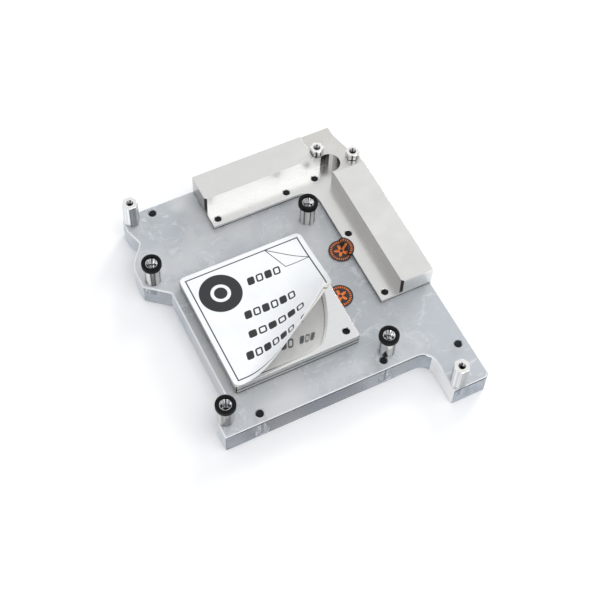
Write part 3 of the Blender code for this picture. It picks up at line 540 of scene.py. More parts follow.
def portCutter(centre, throat, roof):
    radius, depth, lead = port["radius"], port["depth"], port["lead"]
    bore = radius - port["thread"]
    profile = [(0, -1), (radius + lead, -1), (radius + lead, 0)]
    profile += threaded(bore, 0.85, depth - 0.6, port["pitch"], port["thread"])
    profile += [(bore, depth), (throat, depth), (throat, top - roof), (0, top - roof)]
    return turned(profile, 64, centre)


def layAlongX(mesh, x):
    bmesh.ops.rotate(mesh, verts=mesh.verts, cent=(0, 0, 0), matrix=Matrix.Rotation(math.pi / 2, 3, "Y"))
    bmesh.ops.translate(mesh, verts=mesh.verts, vec=(x * mm, link["y"] * mm, link["z"] * mm))
    return mesh


def sideBore(radius, length):
    return layAlongX(rod(radius, 0, length, 32), bodyRight + link["outside"] - length)


def nearOutline(outline, x, y):
    # true within half a millimetre of the outline
    point = Vector((x, y))
    for index, corner in enumerate(outline):
        before = outline[index - 1]
        along = corner - before
        share = max(0.0, min(1.0, (point - before).dot(along) / max(along.length_squared, 1e-9)))
        if (before + along * share - point).length < 0.5:
            return True
    return False


def buildBody():
    outline = rounded(body["outline"])
    half, inset = body["grooveHalf"], body["channelInset"]
    holes = [boredHole(x, y) for x, y in cpuScrews + flangeScrews + barScrews + bodyScrews]
    studs = [studHole(radius, centre) for radius, centres in ((body["standoffHole"], standoffs),
                                                              (body["postHole"], tallPosts)) for centre in centres]
    grooves = [bandPrism(path(half), path(-half), top - body["grooveDepth"], above)
               for path in (squarePath, ringPath)]
    chambers = [prism(rectangle(*body["chamber"]), top - body["chamberDepth"], above),
                prism(ringPath(-inset), top - body["channelDepth"], above)]
    ports = [portCutter(*throat) for throat in port["throats"]]
    collector = prism(rectangle(*link["collector"], (link["collectorX"], link["y"])),
                      link["z"] - link["collectorDrop"], top - link["collectorRoof"])
    riser = rod(link["riser"], link["z"] - link["riserDrop"], top - link["riserRoof"], 28,
                (link["riserX"], link["y"]))
    piece = carve("clearBody", prism(outline, 0, top, body["edge"]), [
        merged(holes + studs), merged(grooves), merged(chambers), merged(ports),
        sideBore(link["radius"], link["length"]),
        sideBore(link["plugRadius"], link["plugLength"] + link["outside"]), merged([collector, riser]),
    ])
    materials = [acrylicWall, acrylicFace, acrylicCut, acrylicEdgeHighlight, acrylicEdgeShade, acrylicPaintedLight, acrylicPale,
                 acrylicDrilled]
    dress(piece, materials, "acrylic_body")
    for face in piece.data.polygons:
        x, y, z = face.center / mm
        if face.normal.z > 0.9 and z > top - 0.05:
            kind = acrylicFace
        elif abs(face.normal.z) > 0.9 and z < 0.05:
            kind = acrylicWall
        elif any(math.hypot(x - screwX, y - screwY) < body["drilledReach"] for screwX, screwY in bodyScrews):
            kind = acrylicDrilled
        elif not nearOutline(outline, x, y):
            kind = acrylicCut
        # broken edges: painted highlight on faces turned up or to the left, painted shade on the others
        elif face.normal.z > 0.1:
            kind = acrylicEdgeHighlight if face.normal.z > 0.55 or face.normal.x < -0.5 else acrylicEdgeShade
        # walls across x: painted light on the one right of the middle
        elif face.normal.x < -0.9:
            kind = acrylicPaintedLight if x > 0 else acrylicPale
        else:
            kind = acrylicWall
        face.material_index = materials.index(kind)
    return piece


clearBody = buildBody()
print("clear body made:", len(clearBody.data.polygons), "faces")

# shadow line: a recess 0.1 deep round the plate's foot, painted dark as a contact shadow
cpuPlate = {
    "side": 58, "low": 11.8, "top": 17.7, "corner": 1.0, "edge": 0.22, "grooveHeight": 0.6, "grooveDepth": 0.6,
    "shadowLineHeight": 0.85, "shadowLineDepth": 0.1, "fins": 12, "finField": 30, "slotWidth": 1.2, "slotDepth": 2.4,
}
tapped = {"radius": 1.5, "pitch": 0.5, "thread": 0.14, "lead": 0.3}
regulatorPlate = {
    "low": 11.8, "flangeTop": 13.9, "barTop": 22.7, "cornerTop": 21.9, "edge": 0.2,
    "left": -2.5, "right": 71.2, "back": 73.2, "end": -15.8, "flangeFront": 50.1, "flangeInner": 46.6,
    "barFront": 59.4, "barInner": 55.9, "fillet": 8, "pocket": (57.0, 54.8), "pocketRadius": 5,
    "notch": [(71.2, 58.1), (68.4, 58.1), (65.8, 68.0)],  # where the outer corner steps in
    "corner": (21.7, 26.7, 0, (62.35, 61.85)),  # width, depth, radius and centre of the lower corner
    # shadow line: the same painted contact shadow round this plate's foot
    "shadowLineHeight": 0.7, "shadowLineDepth": 0.1, "blindHole": 1.8, "blindTop": 17.8, "studHole": 1.8, "studFloor": 17.6,
}


def tappedHole(x, y, low, high):
    radius, lead = tapped["radius"], tapped["lead"]
    profile = [(0, low - 1), (radius, low - 1)] + threaded(radius, low, high - 0.5, tapped["pitch"], tapped["thread"])
    profile += [(radius, high - lead), (radius + lead, high), (radius + lead, high + 1), (0, high + 1)]
    return turned(profile, 32, (x, y))


def buildCpuPlate():
    side, low, high, corner = (cpuPlate[key] for key in ("side", "low", "top", "corner"))
    shadowLineTop, grooveHalf = low + cpuPlate["shadowLineHeight"], cpuPlate["grooveHeight"] / 2
    centre = (low + high) / 2
    outer = rectangle(side + 4, side + 4, corner)

    def inset(depth):
        return rectangle(side - 2 * depth, side - 2 * depth, corner)

    groove = bandPrism(outer, inset(cpuPlate["grooveDepth"]), centre - grooveHalf, centre + grooveHalf)
    foot = bandPrism(outer, inset(cpuPlate["shadowLineDepth"]), low - 1, shadowLineTop)
    field, pitch = cpuPlate["finField"], cpuPlate["finField"] / cpuPlate["fins"]
    slots = [prism(rectangle(cpuPlate["slotWidth"], field, 0, ((step + 0.5) * pitch - field / 2, 0)),
                   low - 2, low + cpuPlate["slotDepth"]) for step in range(cpuPlate["fins"])]
    holes = [tappedHole(x, y, low, high) for x, y in cpuScrews]
    solid = prism(rectangle(side, side, corner), low, high, cpuPlate["edge"], 3)
    piece = carve("processorPlate", solid, [merged([groove, foot]), merged(slots), merged(holes)])
    dress(piece, [nickelTop, nickelMirror, nickelBoreShade, nickelEdge], "cpu_cold_plate")
    # painted shade in the tapped holes
    paintBores(piece, [(x, y, 1.9) for x, y in cpuScrews], 2, high - 0.3)
    for face in piece.data.polygons:
        z, normal = face.center.z / mm, face.normal
        if normal.z > 0.99 and z > high - 0.1:
            face.material_index = 1
        # painted shade: the contact line at the plate's foot
        elif z < shadowLineTop - 0.02:
            face.material_index = 2
        elif (abs(z - centre) < grooveHalf + 0.02 or 0.2 < normal.z < 0.7 and z > high - 0.3
              or abs(normal.x) > 0.4 and abs(normal.y) > 0.4):  # painted shade in the groove, on the top's broken edge and on upright corners
            face.material_index = 3
    return piece


def regulatorOutline(inset):
    left, front, inner, end = (regulatorPlate[key] + inset for key in ("left", "flangeFront", "flangeInner", "end"))
    right, back = regulatorPlate["right"] - inset, regulatorPlate["back"] - inset
    notch = [(x - inset, y - inset, 0) for x, y in regulatorPlate["notch"]]
    return rounded([(left, front, 0), (inner, front, regulatorPlate["fillet"] + inset), (inner, end, 0),
                    (right, end, 0), *notch, (notch[-1][0], back, 0), (left, back, 0)])


def buildRegulatorPlate():
    plate = regulatorPlate
    low, flangeTop, barTop, cornerTop = (plate[key] for key in ("low", "flangeTop", "barTop", "cornerTop"))
    left, end, barFront, barInner = (plate[key] for key in ("left", "end", "barFront", "barInner"))
    clear, shadowLineTop = barTop + 2, low + plate["shadowLineHeight"]
    foot = bandPrism(regulatorOutline(-3), regulatorOutline(plate["shadowLineDepth"]), low - 1, shadowLineTop)
    step = prism(rounded([(left - 2, end - 2, 0), (barInner + 3, end - 2, 0), (barInner, end + 1, 0),
                          (barInner, barFront, 0), (left + 1, barFront, 0), (left - 2, barFront + 3, 0)]),
                 flangeTop, clear)
    pocket = prism(circle(plate["pocketRadius"], 64, plate["pocket"]), flangeTop, clear)
    corner = prism(rectangle(*plate["corner"]), cornerTop, clear)
    holes = [tappedHole(x, y, low, flangeTop) for x, y in flangeScrews]
    blind = [rod(plate["blindHole"], low - 1, plate["blindTop"], 24, centre) for centre in barScrews]
    studs = [rod(plate["studHole"], plate["studFloor"], clear, 24, centre) for centre in shortPosts]
    piece = carve("regulatorPlate", prism(regulatorOutline(0), low, barTop), [step, pocket, corner], plate["edge"])
    piece = carve("regulatorPlate", meshOf(piece), [foot, merged(holes + blind + studs)])
    # painted reflection in the round pocket
    nickelPocketReflection = nickelPaintedReflection("nickel, end milled, painted reflection", "#e2e0de", 0.16, plate["pocket"], paintedReflections["pocket"])
    materials = [nickelTop, nickelLongLit, nickelSideShaded, nickelEdge, nickelPocketReflection, nickelCorner, nickelBoreShade]
    dress(piece, materials, "vrm_cold_plate")
    pocketX, pocketY = plate["pocket"]
    for face in piece.data.polygons:
        x, y, z = face.center / mm
        normal = face.normal
        kind = nickelTop
        if math.hypot(x - pocketX, y - pocketY) < plate["pocketRadius"] + 0.4 and abs(normal.z) < 0.5:
            kind = nickelPocketReflection
        # painted shade: the contact line at the plate's foot
        elif z < shadowLineTop - 0.02:
            kind = nickelEdge
        elif normal.z > 0.9 and abs(z - cornerTop) < 0.05:
            kind = nickelCorner
        elif cornerTop < z < barTop - 0.1 and abs(normal.z) < 0.5 and x < 68 and y < 70:  # step into the corner, in painted shade
            kind = nickelEdge
        elif normal.x < -0.3 and normal.y < -0.3 and z > flangeTop:  # bevelled ends of the bars, in painted shade
            kind = nickelEdge
        # walls facing y get painted light, walls facing x painted shade
        elif abs(normal.y) > 0.7:
            kind = nickelLongLit
        elif abs(normal.x) > 0.7:
            kind = nickelSideShaded
        face.material_index = materials.index(kind)
    # painted shade in the holes
    bores = [(x, y, 1.9) for x, y in flangeScrews + barScrews + shortPosts]
    paintBores(piece, bores, materials.index(nickelBoreShade), flangeTop - 0.3)
    return piece


buildCpuPlate()
regulatorPiece = buildRegulatorPlate()
print("cold plates made:", len(regulatorPiece.data.polygons), "faces")


def buildRing(name, path, node):
    radius = ring["thickness"] / 2
    curve = bpy.data.curves.new(name, "CURVE")
    curve.dimensions = "3D"
    curve.bevel_depth = radius * mm
    curve.bevel_resolution = 4
    spline = curve.splines.new("POLY")
    spline.points.add(len(path) - 1)
    for point, (x, y) in zip(spline.points, path):
        point.co = (x * mm, y * mm, (top - radius) * mm, 1)
    spline.use_cyclic_u = True
    cord = bpy.data.objects.new(name, curve)
    bpy.context.scene.collection.objects.link(cord)
    graph = bpy.context.evaluated_depsgraph_get()
    data = bpy.data.meshes.new_from_object(cord.evaluated_get(graph), depsgraph=graph)
    bpy.data.objects.remove(cord, do_unlink=True)
    piece = bpy.data.objects.new(name, data)
    bpy.context.scene.collection.objects.link(piece)
    return dress(piece, [rubber], node)


buildRing("processorSeal", squarePath(0), "cpu_o_ring")
buildRing("regulatorSeal", ringPath(0), "vrm_o_ring")
for node, material in (("jet_plate", steelSheet), ("jet_insert", blackPlastic)):
    for materialSlot in frame["nodes"][node].material_slots:
        materialSlot.material = material
print("seals made")

screw = {"radius": 1.5, "headRadius": 2.75, "headTop": 2.3, "low": 0.3, "edge": 0.3, "socket": 2.0,
         "socketDepth": 1.2, "pitch": 0.5, "thread": 0.13, "neck": 0.9}


def buildScrew(name, node, tip, radius):
    head, low, edge, headTop = screw["headRadius"], screw["low"], screw["edge"], screw["headTop"]
    profile = [(0, low), (head - edge, low), (head - edge * 0.3, low + edge * 0.3), (head, low + edge),
               (head, headTop), (radius, headTop), (radius, headTop + screw["neck"])]
    profile += threaded(radius - screw["thread"], headTop + 1.2, tip - 0.5, screw["pitch"], screw["thread"])
    profile += [(radius - 0.2, tip), (0, tip)]
    socket = prism(circle(screw["socket"] / math.sqrt(3), 6, middle(node)), low - 1, low + screw["socketDepth"])
    piece = carve(name, turned(profile, 24, middle(node)), [socket])
    return dress(piece, [blackSteel], node)


screwGroups = [  # piece, node, how many, height of the tip, radius of the shank
    ("bodyScrew", "body_screw", 4, top, screw["radius"] + 0.2),
    ("plateScrew", "cpu_plate_screw", 4, cpuPlate["top"] - 1.0, screw["radius"]),
    ("flangeScrew", "flange_screw", 5, regulatorPlate["flangeTop"] - 0.4, screw["radius"]),
    ("barScrew", "bar_screw", 4, top + 6, screw["radius"]),
]
for name, node, count, tip, radius in screwGroups:
    for number in range(1, count + 1):
        buildScrew(f"{name}{number}", f"{node}_{number}", tip, radius)
print("screws made")

barrel = {"radius": 3.5, "bore": 1.3, "collar": 2.65, "funnel": 2.4, "sight": 5.8, "low": 11.8, "shoulder": 22.4,
          "top": 24.7, "stud": 2.0, "studLow": 5.5, "pitch": 0.7, "thread": 0.2}  # sight: how deep light gets; below it the bore is painted in shade
washer = {"radius": 4.4, "hole": 2.85, "low": 22.7, "top": 25.5, "edge": 0.45}


def buildBarrel(number):
    radius, bore, collar, funnel = (barrel[key] for key in ("radius", "bore", "collar", "funnel"))
    low, shoulder, high, stud, studLow = (barrel[key] for key in ("low", "shoulder", "top", "stud", "studLow"))
    x, y = standoffs[number - 1]
    profile = [(0, studLow), (stud - 0.4, studLow), (stud, studLow + 0.4), (stud, low), (radius - 0.15, low),
               (radius, low + 0.15), (radius, shoulder - 0.2), (radius - 0.2, shoulder), (collar, shoulder),
               (collar, high - 0.1), (collar - 0.1, high), (collar - 0.25, high),
               (bore + 0.4, high - funnel * 0.7), (bore, high - funnel)]
    profile += threaded(bore, low + 2, high - funnel - 0.3, barrel["pitch"], barrel["thread"])[::-1]
    profile += [(0, low + 1.5)]
    piece = makeObject(f"boardBarrel{number}", turned(profile, 64, (x, y)))
    # painted reflection on the mouth and the barrel's side
    bands = paintedReflections["mouthOfLeftBarrels" if x < 0 else "mouth"]
    mouth = nickelPaintedReflection(f"nickel, barrel mouth {number}", "#f0f1f2", 0.12, (x, y), bands)
    wall = nickelTurnedReflection if number == 1 else nickelTurnedReflectionShaded
    dress(piece, [wall, nickelBoreShade, mouth], f"cpu_standoff_{number}")
    for face in piece.data.polygons:
        if face.center.z > (shoulder + 0.1) * mm:
            face.material_index = 2
    paintBores(piece, [(x, y, bore + 0.25)], 2, high - funnel)
    # painted shade in the bore below the depth that light reaches
    paintBores(piece, [(x, y, bore + 0.25)], 1, high - barrel["sight"])
    return piece


def buildWasher(number):
    radius, hole, low, high, edge = (washer[key] for key in ("radius", "hole", "low", "top", "edge"))
    quarter = (0.5, 1.0, math.pi / 2)
    profile = [(hole + 0.15, low), (radius - edge, low)]
    profile += [(radius - edge + edge * math.sin(turn), low + edge - edge * math.cos(turn)) for turn in quarter]
    profile += [(radius - edge + edge * math.cos(turn), high - edge + edge * math.sin(turn))
                for turn in (0.0, *quarter)]
    profile += [(hole + 0.15, high), (hole, high - 0.15), (hole, low + 0.15)]
    piece = makeObject(f"plasticWasher{number}", turned(profile, 64, standoffs[number - 1], closed=True))
    return dress(piece, [blackPlastic], f"cpu_washer_{number}")


hexPost = {
    "tall": {"width": 6.35, "low": 11.8, "studLow": 5.5, "turn": 0},
    "short": {"width": 5.5, "low": 22.2, "studLow": 17.9, "turn": math.radians(30)},
    "top": 25.5, "edge": 0.08, "crownSlope": 0.6, "bore": 0.95, "mouth": 1.6, "funnel": 0.9, "sight": 2.0,
    "pitch": 0.5, "thread": 0.2, "stud": 1.5,
}


def buildHexPost(name, node, size):
    width, low, studLow, turn = hexPost[size].values()
    high, boreRadius, mouthRadius, stud = (hexPost[key] for key in ("top", "bore", "mouth", "stud"))
    x, y = middle(node)
    across = width / math.sqrt(3)
    outer, inner = across + 2, width / 2 - 0.1
    crown = turned([(inner, high + 0.01), (outer, high - (outer - inner) * hexPost["crownSlope"]), (outer, high + 2),
                    (inner, high + 2)], 64, (x, y), closed=True)
    bore = [(0, low + 1), (boreRadius, low + 1)]
    bore += threaded(boreRadius, low + 1.2, high - hexPost["funnel"], hexPost["pitch"], hexPost["thread"])
    bore += [(mouthRadius, high), (mouthRadius, high + 1), (0, high + 1)]
    six = prism(circle(across, 6, (x, y), turn), low, high, hexPost["edge"], 1)
    piece = carve(name, six, [crown, turned(bore, 32, (x, y))])
    mesh = bmesh.new()
    mesh.from_mesh(piece.data)
    addMesh(mesh, turned([(0, studLow), (stud - 0.3, studLow), (stud, studLow + 0.3), (stud, low + 0.5),
                          (0, low + 0.5)], 24, (x, y)))
    mesh.to_mesh(piece.data)
    mesh.free()
    # painted reflection on the flats and in the mouth
    wall = nickelPaintedReflection(f"nickel, {name} flats with painted reflection", "#eef0f1", 0.14, (x, y), paintedReflections[size], (1.111, 1.111, 40))
    mouth = nickelPaintedReflection(f"nickel, {name} mouth", "#e6e7e8", 0.14, (x, y), paintedReflections["postMouth"])
    dress(piece, [wall, nickelBoreShade, mouth, nickelHex], node)
    for face in piece.data.polygons:
        if face.normal.z > 0.4 and face.center.z > (high - 1.5) * mm:
            face.material_index = 3
    paintBores(piece, [(x, y, mouthRadius)], 2, high)
    # painted shade in the bore below the depth that light reaches
    paintBores(piece, [(x, y, boreRadius + 0.25)], 1, high - hexPost["sight"])
    return piece


plug = {"radius": 3.2, "length": 4.4, "edge": 0.4, "socket": 2.5, "socketDepth": 2.4, "x": 66.5}


def buildPlug():
    radius, length, edge = plug["radius"], plug["length"], plug["edge"]
    solid = turned([(0, 0), (radius - edge, 0), (radius, edge), (radius, length - edge), (radius - edge, length),
                    (0, length)], 48)
    socket = prism(circle(plug["socket"] / math.sqrt(3), 6), length - plug["socketDepth"], length + 1)
    piece = carve("linkPlug", layAlongX(solid, plug["x"]), [layAlongX(socket, plug["x"])])
    return dress(piece, [nickelTurnedReflection], "link_plug")


for number in range(1, 5):
    buildBarrel(number)
    buildWasher(number)
for place, size in (("corner", "tall"), ("foot", "tall"), ("inner", "short"), ("outer", "short")):
    buildHexPost(f"{place}Post", f"{place}_board_standoff", size)
buildPlug()
print("standoffs, washers and plug made")

film = {
    "side": 58, "corner": 2.6, "thickness": 0.2, "low": 18.0,
    "fanLeft": 4, "fanFront": 9, "fanStart": 48, "fanTurn": 98, "creases": 40,  # where the creases meet, degrees
    "sheet": "#f6f7f8", "sheetShade": "#f0f2f4", "ink": "#17191b",
    "underside": "#faf7f2", "undersideShade": "#f0ece6", "undersideInk": "#5c5d60",
    "border": 2.3, "line": 0.27, "blur": 0.06, "slant": 0.2,
    "disc": ((-15.5, 14.9), 9.4, 4.4, 2.9),  # centre, radius, outer and inner radius of the ring in it
    "rows": [  # centre, half length, half height, blocks along it
        ((0.9, 0.2), 12.4, 1.9, 6), ((0.0, -9.0), 14.0, 1.7, 6), ((-6.8, -18.0), 12.4, 1.9, 6),
        ((14.4, -18.0), 5.6, 1.7, 3), ((5.0, 15.0), 8.2, 1.9, 4),
    ],
    "strokes": [  # ends of the lines that draw a folded corner
        ((11.0, 26.7), (15.6, 15.2)), ((15.6, 15.2), (26.7, 14.4)), ((11.0, 26.7), (26.7, 14.4)),
    ],
}


def flatSheet(outline):
    mesh = bmesh.new()
    mesh.faces.new([mesh.verts.new((x * mm, y * mm, 0)) for x, y in outline])
    return mesh


def crease(mesh, point, normal):
    bmesh.ops.bisect_plane(mesh, geom=mesh.verts[:] + mesh.edges[:] + mesh.faces[:], dist=1e-8,
                           plane_co=point, plane_no=normal)


def paintPlace(mesh, span, centre=(0, 0)):
    # the print's place on the sheet, before it is bent
    layer = mesh.loops.layers.uv.new("print")
    for face in mesh.faces:
        for loop in face.loops:
            x, y = loop.vert.co.x / mm - centre[0], loop.vert.co.y / mm - centre[1]
            loop[layer].uv = (x / span + 0.5, y / span + 0.5)


def thicken(piece, thickness, backMaterial):
    skin = piece.modifiers.new("thickness", "SOLIDIFY")
    skin.thickness = thickness * mm
    skin.offset = 1
    skin.use_even_offset = True
    skin.use_quality_normals = True
    skin.material_offset = backMaterial
    return settle(piece)


def printPoint(tree, span):
    # place on the print in mm from its middle
    place = addNode(tree, "UVMap", uv_map="print")
    centred = addNode(tree, "VectorMath", [place, (0.5, 0.5, 0)], "SUBTRACT")
    return addNode(tree, "VectorMath", {0: centred, "Scale": span}, "SCALE")


def boxMask(tree, point, centre, half, radius, turn=0.0):
    # 1 inside a box with round corners, 0 outside it
    shifted = addNode(tree, "VectorMath", [point, (*centre, 0)], "SUBTRACT")
    if turn:
        shifted = addNode(tree, "VectorRotate", {"Vector": shifted, "Angle": -turn}, rotation_type="Z_AXIS")
    reach = addNode(tree, "VectorMath", [shifted, (1, 1, 0)], "MULTIPLY")
    reach = addNode(tree, "VectorMath", [reach], "ABSOLUTE")
    core = (half[0] - radius, half[1] - radius, 0)
    over = addNode(tree, "VectorMath", [reach, core], "SUBTRACT")
    over = addNode(tree, "VectorMath", [over, (0, 0, 0)], "MAXIMUM")
    length = addNode(tree, "VectorMath", [over], "LENGTH")
    return addNode(tree, "MapRange", [length, radius - film["blur"], radius + film["blur"], 1.0, 0.0])


def ringMask(tree, outer, inner):
    return addNode(tree, "Math", [outer, inner], "SUBTRACT", use_clamp=True)


def filmPrint(tree, point):
    half, line, slant = film["side"] / 2 - film["border"], film["line"], film["slant"]
    masks = [ringMask(tree, *(boxMask(tree, point, (0, 0), (reach, reach), 0.1)
                              for reach in (half + line, half - line)))]
    centre, *radii = film["disc"]
    disc, ringOuter, ringInner = (boxMask(tree, point, centre, (radius, radius), radius) for radius in radii)
    masks.append(ringMask(tree, disc, ringMask(tree, ringOuter, ringInner)))
    split = addNode(tree, "SeparateXYZ", [point])
    lean = addNode(tree, "Math", [split.outputs["Y"], slant], "MULTIPLY")
    leaning = addNode(tree, "Math", [split.outputs["X"], lean], "SUBTRACT")
    slanted = addNode(tree, "CombineXYZ", [leaning, split.outputs["Y"]])
    for (x, y), halfLength, halfHeight, blocks in film["rows"]:
        step = 2 * halfLength / blocks
        for block in range(blocks):
            place = (x - halfLength + (block + 0.5) * step - slant * y, y)
            outer = boxMask(tree, slanted, place, (step * 0.4, halfHeight), 0.9)
            if block % 2:  # every other block is hollow
                hollow = boxMask(tree, slanted, place, (step * 0.4 - 0.75, halfHeight - 0.75), 0.2)
                outer = ringMask(tree, outer, hollow)
            masks.append(outer)
    for start, end in film["strokes"]:
        start, end = Vector(start), Vector(end)
        along = end - start
        masks.append(boxMask(tree, point, tuple((start + end) / 2), (along.length / 2 + 0.1, line * 0.7), 0.1,
                             math.atan2(along.y, along.x)))
    total = masks[0]
    for mask in masks[1:]:
        total = addNode(tree, "Math", [total, mask], "MAXIMUM")
    return total


def filmMaterial(name, sheet, shade, ink):
    # calendered vinyl: glossy white and gently rippled, with a print a little duller than the sheet
    material, tree, shader = newMaterial(name, {"IOR": 1.5})
    inked = filmPrint(tree, printPoint(tree, film["side"]))
    mottle = addNode(tree, "MapRange", [surfaceMarks(tree, 8.333), 0.35, 0.65, 0.0, 1.0])
    vinyl = addNode(tree, "Mix", {0: mottle, 6: linear(sheet), 7: linear(shade)}, data_type="RGBA")
    ripple = surfaceMarks(tree, 22.22, 2.0)  # waves about 22 mm long, left by the roll
    feed(tree, shader, {
        "Base Color": addNode(tree, "Mix", {0: inked, 6: vinyl, 7: linear(ink)}, data_type="RGBA"),
        "Roughness": addNode(tree, "MapRange", [inked, 0.0, 1.0, 0.28, 0.5]),
        "Normal": addNode(tree, "Bump", {"Height": ripple, "Strength": 0.1, "Distance": 0.4 * mm})})
    return material


def buildFilm():
    half = film["side"] / 2
    mesh = flatSheet(rectangle(film["side"], film["side"], film["corner"]))
    fan = Vector((-half - film["fanLeft"], -half - film["fanFront"], 0)) * mm
    start = math.radians(film["fanStart"])
    step = (start - math.atan2(film["fanFront"], film["side"] + film["fanLeft"])) / film["creases"]
    angles = [start - step * number for number in range(film["creases"])]
    for angle in angles:
        crease(mesh, fan, (-math.sin(angle), math.cos(angle), 0))
    paintPlace(mesh, film["side"])
    flat = {vert: math.atan2(vert.co.y - fan.y, vert.co.x - fan.x) for vert in mesh.verts}
    fold = -math.radians(film["fanTurn"]) / film["creases"]
    for angle in reversed(angles):
        lifted = [vert for vert in mesh.verts if flat[vert] < angle - step / 100]
        turn = Matrix.Rotation(fold, 3, Vector((math.cos(angle), math.sin(angle), 0)))
        bmesh.ops.rotate(mesh, verts=lifted, cent=fan, matrix=turn)
    bmesh.ops.translate(mesh, verts=mesh.verts, vec=(0, 0, film["low"] * mm))
    piece = makeObject("protectiveFilm", mesh)
    sides = [filmMaterial("printed film", film["sheet"], film["sheetShade"], film["ink"]),
             filmMaterial("film, underside", film["underside"], film["undersideShade"], film["undersideInk"])]
    for material in sides:
        piece.data.materials.append(material)
    return dress(thicken(piece, film["thickness"], 1), sides, "protective_film", 40)


buildFilm()

seal = {
    "radius": 5.65, "thickness": 0.2, "low": 11.8, "bends": 6,
    "ink": "#f0812a", "wornInk": "#c9551a", "ground": "#181210", "grit": 1.111,  # paper grit, drawn coarse
    "ring": (3.95, 5.05), "blur": 0.05, "ticks": 30, "lobes": 5, "lobeReach": 2.2, "lobeSwing": 1.1, "hub": 0.8,
    "flangeCentre": (43.4, 15.7), "flangeEdge": 46.3, "slope": 1.8, "rise": 2.4,  # runs up onto the flange
    "plateCentre": (32.2, -5.1), "plateSide": 29.3, "bendRadius": 0.6,  # turns up the processor plate's side
}


def sealMaterial():
    # matt black paper with an orange print: a ring of ticks round a mark with lobes, rubbed darker in places
    material, tree, shader = newMaterial("paper seal", {})
    point = printPoint(tree, 2 * seal["radius"])
    split = addNode(tree, "SeparateXYZ", [point])
    angle = addNode(tree, "Math", [split.outputs["Y"], split.outputs["X"]], "ARCTAN2")
    distance = addNode(tree, "VectorMath", [point], "LENGTH")
    blur = seal["blur"]
    inner, outer = seal["ring"]
    band = addNode(tree, "Math", [addNode(tree, "MapRange", [distance, inner, inner + 2 * blur, 0, 1]),
                                  addNode(tree, "MapRange", [distance, outer - 2 * blur, outer, 1, 0])],
                   "MULTIPLY")
    waves = [addNode(tree, "Math", [addNode(tree, "Math", [angle, count], "MULTIPLY")], "SINE")
             for count in (seal["ticks"], seal["lobes"])]
    tick = addNode(tree, "MapRange", [waves[0], -0.1, 0.1, 0, 1])
    swing = addNode(tree, "Math", [waves[1], seal["lobeSwing"]], "MULTIPLY")
    reach = addNode(tree, "Math", [seal["lobeReach"], swing], "ADD")
    past = addNode(tree, "Math", [distance, reach], "SUBTRACT")
    lobes = addNode(tree, "MapRange", [past, -blur, blur, 1, 0])
    hub = addNode(tree, "MapRange", [distance, seal["hub"] - blur, seal["hub"] + blur, 0, 1])
    mark = addNode(tree, "Math", [lobes, hub], "MULTIPLY")
    inked = addNode(tree, "Math", [addNode(tree, "Math", [band, tick], "MULTIPLY"), mark],
                    "MAXIMUM")
    wear = surfaceMarks(tree, seal["grit"])
    worn = addNode(tree, "MapRange", [wear, 0.35, 0.7, 0, 1])
    ink = addNode(tree, "Mix", {0: worn, 6: linear(seal["ink"]), 7: linear(seal["wornInk"])}, data_type="RGBA")
    feed(tree, shader, {
        "Base Color": addNode(tree, "Mix", {0: inked, 6: linear(seal["ground"]), 7: ink}, data_type="RGBA"),
        "Roughness": addNode(tree, "MapRange", [wear, 0.3, 0.7, 0.3, 0.45])})
    return material


def slopeUp(x):
    share = min(1.0, max(0.0, (x - seal["flangeEdge"] + seal["slope"]) / seal["slope"]))
    return x, seal["low"] + seal["rise"] * share * share * (3 - 2 * share)


def turnUp(x):
    radius = seal["bendRadius"]
    past = seal["plateSide"] + radius - x
    if past <= 0:
        return x, seal["low"]
    turn = min(past, radius * math.pi / 2) / radius
    rise = radius * (1 - math.cos(turn)) + max(0.0, past - radius * math.pi / 2)
    return seal["plateSide"] + radius - radius * math.sin(turn), seal["low"] + rise


def buildSeal(name, node, centre, first, last, bend, paper):
    # a round sheet, creased between two places in x and bent to a curve
    mesh = flatSheet(circle(seal["radius"], 96, centre))
    for step in range(seal["bends"] + 1):
        crease(mesh, ((first + (last - first) * step / seal["bends"]) * mm, 0, 0), (1, 0, 0))
    paintPlace(mesh, 2 * seal["radius"], centre)
    for vert in mesh.verts:
        x, z = bend(vert.co.x / mm)
        vert.co.x, vert.co.z = x * mm, z * mm
    for face in mesh.faces:
        face.normal_update()
        if face.normal.z < 0:
            face.normal_flip()
    piece = thicken(makeObject(name, mesh), seal["thickness"], 0)
    return dress(piece, [paper], node, 50)


sealPaper = sealMaterial()
foldStart = seal["plateSide"] + seal["bendRadius"]
buildSeal("flangeSeal", "flange_seal_label", seal["flangeCentre"], seal["flangeEdge"] - seal["slope"],
          seal["flangeEdge"], slopeUp, sealPaper)
buildSeal("plateSeal", "plate_seal_label", seal["plateCentre"], foldStart,
          foldStart - seal["bendRadius"] * math.pi / 2, turnUp, sealPaper)
print("film and seals made")

stage = {"size": 4.0, "drop": 0.0003, "colour": "#fbfbfb", "glow": 0.08, "fill": 0.74, "fillColour": "#fafcff"}
lamps = {  # place in metres, width and height, watts
    "frontSoftbox": ((0.31, -0.55, 1.02), (0.95, 0.95), 4.3),
    "backSoftbox": ((1.1, 0.75, 0.65), (0.6, 0.5), 9.0),
}
camera = {"place": (-0.136472, -0.268437, 0.512567), "turn": (31.641, -1.786, -26.559), "lens": 81.637}


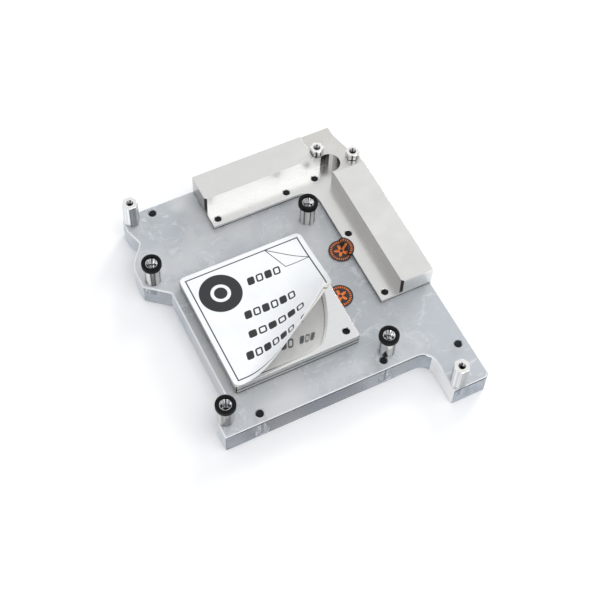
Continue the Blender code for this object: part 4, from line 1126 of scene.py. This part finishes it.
def backdropSeen(tree):
    path = addNode(tree, "LightPath").outputs
    seen = addNode(tree, "Math", [path["Is Camera Ray"], path["Is Glossy Ray"]], "MAXIMUM")
    seen = addNode(tree, "Math", [seen, path["Is Transmission Ray"]], "MAXIMUM")
    # light that has been scattered on its way to the floor stays plain
    unscattered = addNode(tree, "Math", [path["Diffuse Depth"], 0.5], "LESS_THAN")
    return addNode(tree, "Math", [seen, unscattered], "MULTIPLY")


def buildStage():
    mesh = bmesh.new()
    bmesh.ops.create_grid(mesh, x_segments=1, y_segments=1, size=stage["size"],
                          matrix=Matrix.Translation((0, 0, -stage["drop"])))
    floor = makeObject("floor", mesh)
    # matt paper: pale, with a soft shadow under the block
    material, tree, shader = newMaterial("pale paper", {
        "Base Color": linear(stage["colour"]), "Roughness": 0.9, "Emission Color": linear("#ffffff")})
    glow = addNode(tree, "Math", [backdropSeen(tree), stage["glow"]], "MULTIPLY")
    feed(tree, shader, {"Emission Strength": glow})
    floor.data.materials.append(material)
    world = bpy.data.worlds.new("studio")
    bpy.context.scene.world = world
    world.use_nodes = True
    tree = world.node_tree
    fill = tree.nodes["Background"]
    feed(tree, fill, {"Color": linear(stage["fillColour"]), "Strength": stage["fill"]})
    white = addNode(tree, "Background", {"Color": linear("#ffffff"), "Strength": 1.0})
    feed(tree, tree.nodes["World Output"], [addNode(tree, "MixShader", [backdropSeen(tree), fill, white])])


def addLamp(name, place, size, power):
    lamp = bpy.data.lights.new(name, "AREA")
    lamp.shape = "RECTANGLE"
    lamp.size, lamp.size_y = size
    lamp.energy = power
    item = bpy.data.objects.new(name, lamp)
    bpy.context.scene.collection.objects.link(item)
    item.location = place
    item.rotation_euler = (Vector((0.01, 0.0, 0.01)) - Vector(place)).to_track_quat("-Z", "Y").to_euler()


def buildCamera():
    data = bpy.data.cameras.new("camera")
    data.sensor_fit = "HORIZONTAL"
    data.sensor_width = 36
    data.lens = camera["lens"]
    data.clip_start, data.clip_end = 0.01, 20
    item = bpy.data.objects.new("camera", data)
    bpy.context.scene.collection.objects.link(item)
    item.location = camera["place"]
    item.rotation_euler = [math.radians(angle) for angle in camera["turn"]]
    bpy.context.scene.camera = item


buildStage()
for name, (place, size, power) in lamps.items():
    addLamp(name, place, size, power)
buildCamera()
bpy.context.scene.view_settings.view_transform = "Standard"
print("stage, lights and camera made")
